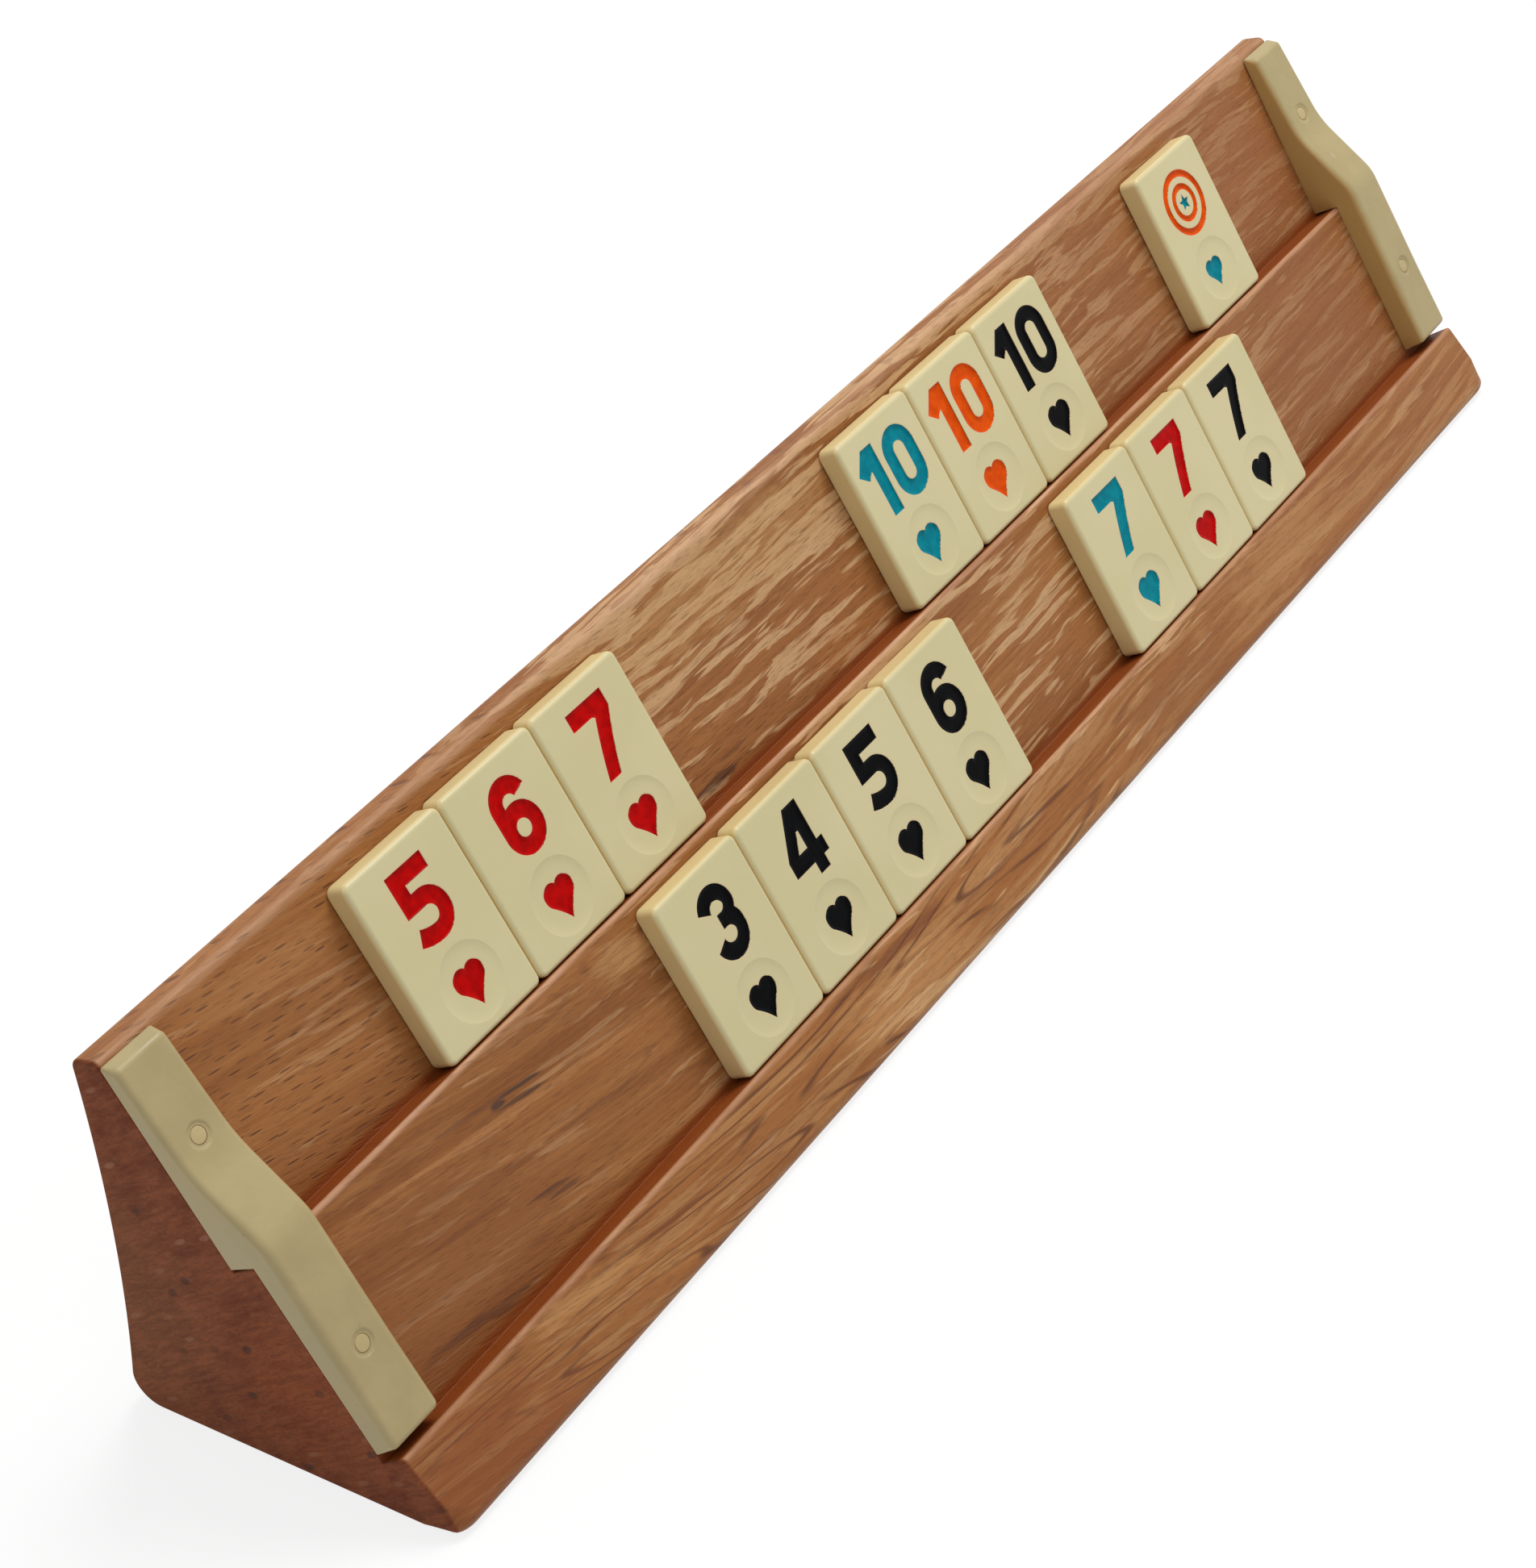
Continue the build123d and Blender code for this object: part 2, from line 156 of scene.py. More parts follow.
# %% A node builder
class Nodes:
    """Adds nodes to one tree. A value that is a socket is linked, any other is set."""

    def __init__(self, tree):
        self.tree = tree

    def add(self, kind, values=None, **options):
        node = self.tree.nodes.new(kind)
        for key, value in options.items():
            setattr(node, key, value)
        for key, value in (values or {}).items():
            self.plug(node.inputs[key], value)
        return node

    def plug(self, socket, value):
        if isinstance(value, bpy.types.NodeSocket):
            self.tree.links.new(value, socket)
        else:
            socket.default_value = value

    def math(self, operation, *values, clamp=False):
        kind = "ShaderNodeMath"
        values = dict(enumerate(values))
        return self.add(kind, values, operation=operation, use_clamp=clamp).outputs[0]

    def product(self, first, *others):
        for value in others:
            first = self.math("MULTIPLY", first, value)
        return first

    def vector(self, operation, *values):
        node = self.add("ShaderNodeVectorMath", dict(enumerate(values)), operation=operation)
        return node.outputs["Value" if operation in ("LENGTH", "DISTANCE", "DOT_PRODUCT") else 0]

    def scaled(self, value, factor):
        """A vector times one number."""
        result = self.vector("SCALE", value)
        self.plug(result.node.inputs["Scale"], factor)
        return result

    def combine(self, x=0.0, y=0.0, z=0.0):
        return self.add("ShaderNodeCombineXYZ", {0: x, 1: y, 2: z}).outputs[0]

    def separate(self, value):
        return self.add("ShaderNodeSeparateXYZ", {0: value}).outputs

    def mix(self, factor, a, b):
        node = self.add("ShaderNodeMix", data_type="RGBA")
        for index, value in ((0, factor), (6, a), (7, b)):
            if isinstance(value, tuple):
                value = (*value, 1.0)[:4]
            self.plug(node.inputs[index], value)
        return node.outputs[2]

    def smooth_step(self, value, low, high, to_low=0.0, to_high=1.0):
        node = self.add("ShaderNodeMapRange", {0: value, 1: low, 2: high, 3: to_low, 4: to_high},
                        interpolation_type="SMOOTHSTEP")
        return node.outputs[0]

    def noise(self, place, detail, scale=1.0, output=0, **settings):
        """Blender's noise. Output 1, its colour, is three noises, which serve as a direction."""
        values = {"Vector": place, "Scale": scale, "Detail": detail, **settings}
        return self.add("ShaderNodeTexNoise", values).outputs[output]

    def wander(self, place, detail, reach):
        """A smoothly changing direction, at most half of reach long either way."""
        colour = self.noise(place, detail, output=1)
        return self.vector("MULTIPLY", self.vector("SUBTRACT", colour, (0.5, 0.5, 0.5)), reach)

    def group(self, tree, **values):
        """Places a shader group and gives back its only output."""
        node = self.add("ShaderNodeGroup")
        node.node_tree = tree
        for key, value in values.items():
            self.plug(node.inputs[key.replace("_", " ")], value)
        return node.outputs[0]


def new_group(name, kind, inputs, outputs):
    """A node group with named sockets. Returns its tree, builder, inputs and outputs."""
    tree = bpy.data.node_groups.new(name, kind)
    for label, socket_type, value in inputs:
        socket = tree.interface.new_socket(label, in_out="INPUT", socket_type=socket_type)
        if value is not None:
            socket.default_value = value
    for label, socket_type in outputs:
        tree.interface.new_socket(label, in_out="OUTPUT", socket_type=socket_type)
    nodes = Nodes(tree)
    return tree, nodes, nodes.add("NodeGroupInput").outputs, nodes.add("NodeGroupOutput").inputs


print("node helpers ready")

# %% [markdown]
# ## Colours
# Nodes want linear light, but colours are easiest to judge as the 0-255 values of a screen, so
# one function turns them round. Most finishes here are built up in thin layers: a mask says
# where a layer lies, a strength how much of it shows.

# %% Colour helpers
def paint(*screen):
    """0-255 screen values as the linear values that nodes use."""
    unit = [v / 255 for v in screen]
    return tuple(((v + 0.055) / 1.055) ** 2.4 if v > 0.04045 else v / 12.92 for v in unit)


def layer(nodes, colour, mask, strength, tint):
    """Lays a tint over a colour, where the mask is."""
    return nodes.mix(nodes.math("MULTIPLY", mask, strength), colour, paint(*tint))


def empty_nodes(holder):
    """Takes the ready-made nodes out of a material or a world and gives back a builder."""
    holder.use_nodes = True
    holder.node_tree.nodes.clear()
    return Nodes(holder.node_tree)


def new_material(name, specular):
    """A material with a Principled BSDF. Its place is in millimetres of the row frame."""
    material = bpy.data.materials.new(name)
    nodes = empty_nodes(material)
    shader = nodes.add("ShaderNodeBsdfPrincipled", {"Specular IOR Level": specular})
    nodes.add("ShaderNodeOutputMaterial", {"Surface": shader.outputs[0]})
    place = nodes.scaled(nodes.add("ShaderNodeTexCoord").outputs["Object"], 1 / MM)
    return material, nodes, shader.inputs, place


def finish_material(nodes, shader, colour, roughness, height, strength, distance):
    """Plugs in what changes over the surface: its colour, gloss and small bumps."""
    bump = nodes.add("ShaderNodeBump", {"Strength": strength, "Distance": distance, "Height": height})
    for label, value in (("Base Color", colour), ("Roughness", roughness), ("Normal", bump.outputs[0])):
        nodes.plug(shader[label], value)


print("raw beech as linear light:", [round(v, 3) for v in paint(158, 108, 68)])

# %% [markdown]
# ## Pattern groups
# Beech has long streaks, short broad flecks where the saw met the rays, and fine dark pores,
# all drawn out along the rack. The same few patterns serve wood and plastic alike, so each is
# a node group. They take a place in millimetres and give back a mask from 0 to 1. "Drawn-out
# noise" divides the place by a length and a width before it goes into a noise; "dashes" does
# the same with Voronoi cells, which keeps each dash separate; "mark" is one soft-edged oval for
# a streak that sits at a known place.

# %% Noise drawn out along x
def pattern_group(name, **values):
    """A group that takes a place and some numbers. A value of None stands for a direction."""
    inputs = [("Place", "NodeSocketVector", None)]
    for key, value in values.items():
        kind = "NodeSocketVector" if value is None else "NodeSocketFloat"
        inputs.append((key.replace("_", " "), kind, value))
    return new_group(name, "ShaderNodeTree", inputs, [("Mask", "NodeSocketFloat")])


def drawn_out_noise():
    tree, nodes, given, result = pattern_group("drawn-out noise", Length=40.0, Width=2.0, Waver=0.0,
                                               Seed=0.0, Low=0.34, High=0.66)
    size = nodes.combine(given["Length"], given["Width"], given["Width"])
    seed = nodes.scaled((17.3, 5.1, 9.7), given["Seed"])
    slow = nodes.vector("DIVIDE", given["Place"], nodes.vector("MULTIPLY", size, (0.35, 2.5, 2.5)))
    sway = nodes.wander(nodes.vector("ADD", slow, seed), 1.0, (0, 2, 2))
    bent = nodes.vector("ADD", given["Place"], nodes.scaled(sway, given["Waver"]))
    place = nodes.vector("ADD", nodes.vector("DIVIDE", bent, size), seed)
    noise = nodes.noise(place, 2.5, Roughness=0.55)
    nodes.plug(result["Mask"], nodes.smooth_step(noise, given["Low"], given["High"]))
    return tree


DRAWN_OUT = drawn_out_noise()
print(DRAWN_OUT.name, "has", len(DRAWN_OUT.nodes), "nodes")

# %% Separate dashes
def dashes(name, dimensions):
    """Dashes on a face need only x and along; specks in a solid need all three directions."""
    tree, nodes, given, result = pattern_group(name, Apart_Along=6.0, Apart_Across=2.0, Length=2.0,
                                               Width=0.4, Share=0.7, Seed=0.0)
    apart = nodes.combine(given["Apart Along"], given["Apart Across"], given["Apart Across"])
    size = nodes.combine(given["Length"], given["Width"], given["Width"])
    seed = nodes.scaled((3.7, 8.1, 4.9), given["Seed"])
    where = nodes.vector("ADD", nodes.vector("DIVIDE", given["Place"], apart), seed)
    cells = nodes.add("ShaderNodeTexVoronoi", {"Vector": where, "Scale": 1.0, "Randomness": 1.0},
                      voronoi_dimensions=dimensions).outputs
    gap = nodes.vector("MULTIPLY", nodes.vector("SUBTRACT", where, cells["Position"]), apart)
    if dimensions == "2D":
        gap = nodes.vector("MULTIPLY", gap, (1, 1, 0))
    far = nodes.vector("LENGTH", nodes.vector("DIVIDE", gap, size))
    chance = nodes.add("ShaderNodeSeparateColor", {0: cells["Color"]}).outputs
    present = nodes.math("LESS_THAN", chance[0], given["Share"])
    weight = nodes.math("MULTIPLY_ADD", chance[1], 0.6, 0.4)
    spot = nodes.smooth_step(far, 0.25, 0.55, 1.0, 0.0)
    nodes.plug(result["Mask"], nodes.product(spot, present, weight))
    return tree


DASHES, SPECKS = dashes("dashes", "2D"), dashes("specks", "3D")
print("spotted patterns:", DASHES.name, "and", SPECKS.name)

# %% A placed mark and a worn edge
def mark():
    """One soft oval at a known place, with an uneven rim."""
    tree, nodes, given, result = pattern_group("mark", Uneven=None, X=0.0, Along=0.0,
                                               Half_Length=10.0, Half_Width=1.0, Softness=0.5)
    centre = nodes.combine(given["X"], given["Along"])
    size = nodes.combine(given["Half Length"], given["Half Width"], 1e6)
    gap = nodes.vector("DIVIDE", nodes.vector("SUBTRACT", given["Place"], centre), size)
    far = nodes.vector("LENGTH", nodes.vector("ADD", gap, given["Uneven"]))
    inner = nodes.math("SUBTRACT", 1.0, given["Softness"])
    nodes.plug(result["Mask"], nodes.smooth_step(far, inner, 1.15, 1.0, 0.0))
    return tree


def edge_band():
    """How near a point is to a straight line that runs along the rack."""
    tree, nodes, given, result = pattern_group("edge band", Worn=1.0, Along=0.0, Out=0.0,
                                               Full_Within=0.4, None_Beyond=1.2)
    centre = nodes.combine(0.0, given["Along"], given["Out"])
    flat = nodes.vector("MULTIPLY", given["Place"], (0, 1, 1))
    far = nodes.vector("DISTANCE", flat, centre)
    near = nodes.smooth_step(far, given["Full Within"], given["None Beyond"], 1.0, 0.0)
    nodes.plug(result["Mask"], nodes.math("MULTIPLY", near, given["Worn"]))
    return tree


MARK, EDGE_BAND = mark(), edge_band()
print("placed patterns:", MARK.name, "and", EDGE_BAND.name)

# %% [markdown]
# ## Stained beech
# The wood is beech with a warm brown stain. The colour is laid down as a painter would: broad
# bands first, then streaks, pale flecks and growth lines, then the few streaks and patches that
# sit at known places, one of them a painted highlight near the top of the upper tier, and pores
# and fibres over all. Pale lines along the long edges are painted highlights too. The pattern's
# own place is (x, along, out) on the slope, bent a little, since the grain runs downhill near the
# left end. Sawn ends soak up more stain and get their own darker colour. Every layer is one mix,
# so any of them can be turned down.

# %% The grain's own place
BEND_FROM, BEND_TO, BEND_DROP = -300, -60, 28


def slope_place(nodes, place):
    """A place in row millimetres as (x, along, out) on the slope."""
    gap = nodes.vector("SUBTRACT", place, tuple(UPPER_CORNER))
    along, out = (nodes.vector("DOT_PRODUCT", gap, tuple(way)) for way in (UPHILL, OUTWARD))
    return nodes.separate(place)[0], along, out


def bend_of(x):
    """How far the grain has dropped at x, in millimetres; the nodes below do the same sum."""
    share = min(max((x - BEND_FROM) / (BEND_TO - BEND_FROM), 0), 1)
    return BEND_DROP * share * share * (3 - 2 * share)


def grain_place(nodes, x, along, out):
    """The bent place, and the same with a slow drift across the grain."""
    bent = nodes.math("ADD", along, nodes.smooth_step(x, BEND_FROM, BEND_TO, 0, BEND_DROP))
    straight = nodes.combine(x, bent, out)
    drift = nodes.wander(nodes.vector("MULTIPLY", straight, (0.008, 0.02, 0.02)), 0.0, (0, 10, 10))
    return straight, nodes.vector("ADD", straight, drift)


print("at x = -160 the grain has dropped", round(bend_of(-160), 1), "mm")

# %% Streaks, patches and one painted highlight with a known place
# x, along, half length, half width, colour, strength
GRAIN_AND_HIGHLIGHT_MARKS = [
    (-197, -26, 44, 24, (126, 71, 34), 0.50), (-215, -56, 34, 12, (132, 69, 32), 0.75),
    (-36, 37, 52, 11, (190, 146, 94), 0.42), (-63, -55, 26, 7, (188, 138, 86), 0.60),
    (119, -52, 30, 8, (182, 134, 86), 0.55), (61, -56, 32, 7, (130, 79, 39), 0.50),
    (-118, -7, 10, 5, (192, 144, 91), 0.65), (-131, -41, 26, 1.8, (178, 123, 71), 0.55),
    (-157, -10.6, 7, 0.5, (74, 52, 38), 0.95), (-157, -12.8, 8, 0.55, (74, 52, 38), 0.95),
    (-163, -10.6, 2.6, 1.1, (70, 50, 40), 0.95), (-159, -14, 52, 1.0, (184, 129, 79), 0.60),
    (-187, -4, 22, 1.4, (176, 121, 71), 0.45), (-169, -8.0, 14, 0.6, (104, 63, 39), 0.60),
    (-163, -31, 7, 0.6, (86, 52, 38), 0.90), (-160, -33, 6, 0.8, (86, 52, 39), 0.75),
    (-191, -40, 19, 1.5, (88, 50, 32), 0.75), (-141, -26, 16, 0.5, (104, 60, 37), 0.60),
    (-184, -24, 14, 0.6, (110, 63, 35), 0.50), (-67, 3.4, 8.5, 1.0, (62, 36, 22), 0.95),
    (-59, 6.0, 6, 0.5, (92, 56, 32), 0.60), (-59, -47.4, 19, 1.5, (102, 50, 29), 0.65),
    (-21, -52.0, 22, 0.7, (110, 60, 32), 0.60), (-175, -47.8, 21, 2.3, (190, 140, 86), 0.75),
    # the second mark on the line below, at x -186 and along 39, is a painted highlight: a pale band near the
    # top of the upper tier, where it catches the light
    (-151, -50.5, 24, 0.6, (98, 54, 30), 0.75), (-186, 39, 22, 5, (178, 125, 76), 0.45),
    (-173, 21, 9, 0.8, (186, 136, 87), 0.55), (-177, 12, 10, 0.6, (180, 131, 82), 0.45),
    (-182, 2.0, 9, 1.4, (104, 58, 30), 0.60), (197, 22, 26, 24, (152, 94, 55), 0.55),
    (185, -22, 34, 22, (146, 88, 50), 0.50), (-11, 6, 16, 5, (168, 102, 45), 0.50),
    (35, -10, 26, 6, (172, 119, 69), 0.35),
]


def placed_marks(nodes, colour, straight, shown):
    uneven = nodes.wander(nodes.vector("MULTIPLY", straight, (0.10, 0.6, 0.6)), 3.0, (1.2, 2.4, 0))
    for x, along, half_length, half_width, tint, strength in GRAIN_AND_HIGHLIGHT_MARKS:
        mask = nodes.group(MARK, Place=straight, Uneven=uneven, X=x, Along=along + bend_of(x),
                           Half_Length=half_length, Half_Width=half_width)
        colour = layer(nodes, colour, nodes.math("MULTIPLY", mask, strength), shown, tint)
    return colour


print(len(GRAIN_AND_HIGHLIGHT_MARKS), "placed marks")

# %% Where the wood looks different
def wood_zones(nodes, x, along, out):
    """Masks for parts of the rack. The back is plainer, so it has no left, right or marks."""
    front = nodes.smooth_step(out, -9, -5)
    back_level = 0.35
    right = nodes.math("SUBTRACT", nodes.smooth_step(x, -140, -60), back_level)
    return {"front": front, "right": nodes.math("MULTIPLY_ADD", front, right, back_level),
            "far right": nodes.smooth_step(x, 50, 125),
            "upper tier": nodes.smooth_step(along, -1.0, 1.0),
            "base front": nodes.smooth_step(along, -44.4, -46.0)}


print("wood zones ready")

# %% Sizes of the patterns
# length, width, waver, seed and the noise levels at which the mask begins and is full
NOISES = {
    "bands": (260, 14, 3, 1, 0.34, 0.66), "streaks": (150, 2.7, 1.2, 2, 0.34, 0.66),
    "fine lines": (60, 0.95, 0.5, 3, 0.34, 0.66), "fibres": (16, 0.30, 0.1, 4, 0.3, 0.7),
    "short flecks": (38, 2.3, 1.0, 5), "long flecks": (60, 3.0, 1.3, 6),
    "gaps in flecks": (14, 0.9, 0.5, 7, 0.34, 0.6), "gaps in lines": (60, 3, 1, 8, 0.3, 0.6),
    "lenses": (70, 2.2, 1.2, 9, 0.50, 0.60), "end mottling": (14, 9, 2.5, 21, 0.36, 0.64),
    "end fibres": (11, 1.3, 0.8, 22, 0.34, 0.66), "end lines": (7, 0.8, 0.8, 23, 0.34, 0.66),
    "tile cloud": (34, 30, 2, 31, 0.34, 0.66), "stop cloud": (12, 12, 1, 41, 0.34, 0.66),
    "pooled paint": (2.2, 2.2, 0.5, 51, 0.34, 0.66),
}
# distances apart along x and across it, length, width, share of the cells that show, seed
SPOTS = {
    "long pores": (DASHES, 6.0, 2.2, 3.7, 0.52, 0.8, 1), "tiny pores": (DASHES, 3.2, 1.0, 2.2, 0.34, 0.7, 2),
    "end chips": (DASHES, 11, 9, 3.6, 2.2, 0.4, 5), "end specks": (DASHES, 10, 9, 4.5, 1.4, 0.35, 6),
    "tile grit": (SPECKS, 9, 9, 1.0, 0.7, 0.25, 32), "stop grit": (SPECKS, 4, 4, 0.8, 0.7, 0.5, 43),
    "stop scuffs": (SPECKS, 5, 11, 1.2, 2.4, 0.12, 42), "peg scuffs": (SPECKS, 5, 11, 1.2, 2.4, 0, 42),
}


def noise_mask(nodes, place, name, *low_high):
    labels = ("Length", "Width", "Waver", "Seed", "Low", "High")
    return nodes.group(DRAWN_OUT, Place=place, **dict(zip(labels, (*NOISES[name], *low_high))))


def spot_mask(nodes, place, name):
    pattern, *values = SPOTS[name]
    labels = ("Apart_Along", "Apart_Across", "Length", "Width", "Share", "Seed")
    return nodes.group(pattern, Place=place, **dict(zip(labels, values)))


print(len(NOISES), "drawn-out noises and", len(SPOTS), "kinds of spots")

# %% Flecks, growth lines and pores
def pale_flecks(nodes, zones, along, grain):
    """Crowded from the middle to the right, fewer and fainter at both ends."""
    right, far_right = zones["right"], zones["far right"]
    crowd = nodes.math("MULTIPLY_ADD", right, 0.075, -0.02)
    crowd = nodes.math("SUBTRACT", crowd, nodes.math("MULTIPLY", zones["base front"], 0.075))
    crowd = nodes.math("SUBTRACT", crowd, nodes.math("MULTIPLY", far_right, 0.01))
    uphill = nodes.smooth_step(along, 6, 34, -0.02, 0.035)
    uphill = nodes.product(uphill, zones["upper tier"], nodes.math("SUBTRACT", right, far_right))
    low = nodes.math("SUBTRACT", 0.60, nodes.math("ADD", crowd, uphill))
    high = nodes.math("ADD", low, 0.05)
    flecks = nodes.math("MAXIMUM", noise_mask(nodes, grain, "short flecks", low, high),
                        noise_mask(nodes, grain, "long flecks", low, high))
    broken = noise_mask(nodes, grain, "gaps in flecks")
    strength = nodes.math("MULTIPLY_ADD", right, 0.52, 0.30)
    strength = nodes.math("SUBTRACT", strength, nodes.math("MULTIPLY", far_right, 0.46))
    return nodes.product(flecks, nodes.math("MULTIPLY_ADD", broken, 0.3, 0.7), strength)


def growth_lines(nodes, zones, x, along, grain):
    """Dark lines of the flat-sawn base front and, fainter, of the lower tier."""
    swell = nodes.noise(nodes.vector("MULTIPLY", grain, (0.006, 0.10, 0.10)), 0.6)
    lines = nodes.math("PINGPONG", nodes.math("MULTIPLY", swell, 17), 0.5)
    lines = nodes.smooth_step(lines, 0.02, 0.17, 1.0, 0.0)
    shown = nodes.math("MAXIMUM", nodes.math("MULTIPLY", zones["base front"], 0.9),
                       nodes.smooth_step(along, -1, -3, 0.0, 0.30))
    shown = nodes.math("MULTIPLY", shown, nodes.smooth_step(x, 60, 10, 0.15, 1.0))
    return nodes.product(lines, shown, noise_mask(nodes, grain, "gaps in lines"))


def open_pores(nodes, zones, x, grain):
    """Clear at the upper left, faint elsewhere."""
    clear = nodes.product(nodes.smooth_step(x, -60, -150, 0.5, 1.0),
                          nodes.math("MULTIPLY_ADD", zones["upper tier"], 0.6, 0.4),
                          nodes.smooth_step(x, 150, 60, 0.3, 1.0))
    return nodes.math("MAXIMUM", nodes.product(spot_mask(nodes, grain, "long pores"), clear),
                      nodes.product(spot_mask(nodes, grain, "tiny pores"), 0.35))


print("flecks, growth lines and pores ready")

# %% Colour of the long faces
STAIN = {
    "dark band": (140, 84, 38), "pale band": (161, 103, 52), "right end": (150, 94, 54),
    "streak": (172, 118, 66), "fine line": (122, 70, 32), "fleck": (208, 168, 122),
    "lens": (192, 148, 98), "growth line": (98, 56, 30), "pore": (92, 52, 28),
    "fibre": (104, 60, 30), "ledge floor": (128, 60, 14), "dark end": (106, 48, 22),
    "pale end": (132, 70, 38),
}


def long_grain_colour(nodes, x, along, out):
    """The stained colour, with the fine lines, fibres and pores that the bumps also use."""
    straight, grain = grain_place(nodes, x, along, out)
    zones = wood_zones(nodes, x, along, out)
    bands, streaks, fine, fibres, lenses = (
        noise_mask(nodes, grain, name) for name in ("bands", "streaks", "fine lines", "fibres", "lenses"))
    pores = open_pores(nodes, zones, x, grain)
    colour = nodes.mix(bands, paint(*STAIN["dark band"]), paint(*STAIN["pale band"]))
    colour = layer(nodes, colour, zones["far right"], 0.7, STAIN["right end"])
    colour = layer(nodes, colour, streaks, 0.45, STAIN["streak"])
    colour = layer(nodes, colour, fine, 0.30, STAIN["fine line"])
    flecks = pale_flecks(nodes, zones, along, grain)
    colour = nodes.mix(flecks, colour, paint(*STAIN["fleck"]))
    # the base front has long pale lenses instead of flecks
    colour = layer(nodes, colour, nodes.product(lenses, zones["base front"]), 0.34, STAIN["lens"])
    lines = growth_lines(nodes, zones, x, along, grain)
    colour = nodes.mix(lines, colour, paint(*STAIN["growth line"]))
    shown = nodes.product(nodes.math("MULTIPLY_ADD", fine, -0.35, 1.0), zones["front"])
    colour = placed_marks(nodes, colour, straight, shown)
    colour = layer(nodes, colour, pores, 0.78, STAIN["pore"])
    colour = layer(nodes, colour, fibres, 0.14, STAIN["fibre"])
    return colour, fine, fibres, pores


print("long grain ready")

# %% Ledges and painted edge highlights
# along, out, full highlight within, no highlight beyond, colour, strength
EDGE_HIGHLIGHTS = [
    (0.45, 6.75, 0.45, 1.15, (206, 160, 128), 0.62), (-44.35, 13.5, 0.45, 1.2, (196, 148, 114), 0.55),
    (46.9, -0.4, 0.8, 1.9, (196, 156, 122), 0.45), (-64.0, 18.0, 1.5, 3.4, (150, 118, 98), 0.55),
    (45.2, -7.5, 0.8, 2.2, (150, 104, 76), 0.4),
]


def edge_colours(nodes, colour, x, along, out):
    """Stain gathers on the ledges' floors; the long edges get painted highlights, pale lines where they
    catch the light.
    """
    for floor, wall, depth in ((0.0, 0.0, LEDGE_DEPTH), (-TIER_DROP, LEDGE_DEPTH, LIP_DEPTH)):
        low = nodes.smooth_step(nodes.math("SUBTRACT", along, floor), 0.9, 2.6, 1.0, 0.0)
        above = nodes.math("GREATER_THAN", along, floor - 0.4)
        behind = nodes.math("LESS_THAN", out, wall + depth - 0.7)
        before = nodes.math("GREATER_THAN", out, wall - 0.5)
        mask = nodes.product(low, above, behind, before)
        colour = layer(nodes, colour, mask, 0.92, STAIN["ledge floor"])
    plain = nodes.combine(x, along, out)
    sheen_breakup = nodes.noise(nodes.vector("MULTIPLY", plain, (0.07, 0.9, 0.9)), 3.0)
    sheen_breakup = nodes.smooth_step(sheen_breakup, 0.25, 0.7, 0.35, 1.0)
    # painted highlights: pale lines along the long edges, broken up by a noise
    for band_along, band_out, full, none, tint, strength in EDGE_HIGHLIGHTS:
        mask = nodes.group(EDGE_BAND, Place=plain, Worn=sheen_breakup, Along=band_along, Out=band_out,
                           Full_Within=full, None_Beyond=none)
        colour = layer(nodes, colour, mask, strength, tint)
    return colour


print(len(EDGE_HIGHLIGHTS), "edge highlights")

# %% Sawn ends
def end_grain_colour(nodes, along, out):
    """Dark sawn ends: soft mottling, fibres that fall towards the back, a few chips."""
    down = nodes.math("ADD", nodes.math("MULTIPLY", along, 0.985), nodes.math("MULTIPLY", out, -0.17))
    across = nodes.math("ADD", nodes.math("MULTIPLY", along, 0.17), nodes.math("MULTIPLY", out, 0.985))
    place = nodes.combine(across, down)

    def patch(centre_along, centre_out, reach, full_within):
        gap = nodes.combine(nodes.math("SUBTRACT", along, centre_along),
                            nodes.math("SUBTRACT", out, centre_out))
        return nodes.smooth_step(nodes.vector("LENGTH", gap), full_within, reach, 1.0, 0.0)

    mottle = noise_mask(nodes, place, "end mottling")
    chips = spot_mask(nodes, place, "end chips")
    colour = nodes.mix(mottle, paint(*STAIN["dark end"]), paint(*STAIN["pale end"]))
    for mask, strength, tint in (
            (patch(2, -46, 46, 13.8), 0.55, (134, 86, 54)),
            (patch(-28, -5, 24, 0.0), 0.55, (140, 66, 20)),
            (noise_mask(nodes, place, "end fibres"), 0.45, (146, 84, 50)),
            (noise_mask(nodes, place, "end lines"), 0.40, (84, 38, 18)),
            (chips, 0.75, (56, 34, 26)),
            (spot_mask(nodes, place, "end specks"), 0.5, (164, 118, 94))):
        colour = layer(nodes, colour, mask, strength, tint)
    return colour, chips


print("sawn ends ready")

# %% The beech material
def make_stained_beech():
    material, nodes, shader, place = new_material("stained beech", specular=0.25)
    x, along, out = slope_place(nodes, place)
    colour, fine, fibres, pores = long_grain_colour(nodes, x, along, out)
    colour = edge_colours(nodes, colour, x, along, out)
    end_colour, chips = end_grain_colour(nodes, along, out)
    at_end = nodes.smooth_step(nodes.math("ABSOLUTE", x), 225.5, 226.3)
    colour = nodes.mix(at_end, colour, end_colour)
    rough = nodes.math("MULTIPLY_ADD", fine, 0.10, 0.46)
    rough = nodes.math("MULTIPLY_ADD", at_end, 0.3, rough)
    height = nodes.math("MULTIPLY_ADD", pores, -1.6, nodes.math("MULTIPLY", fine, 0.35))
    height = nodes.math("MULTIPLY_ADD", fibres, 0.22, height)
    height = nodes.math("MULTIPLY_ADD", nodes.math("MULTIPLY", chips, at_end), -2.0, height)
    finish_material(nodes, shader, colour, rough, height, strength=0.6, distance=0.12 * MM)
    print("stained beech:", len(material.node_tree.nodes), "nodes")
    return material


stained_beech = make_stained_beech()
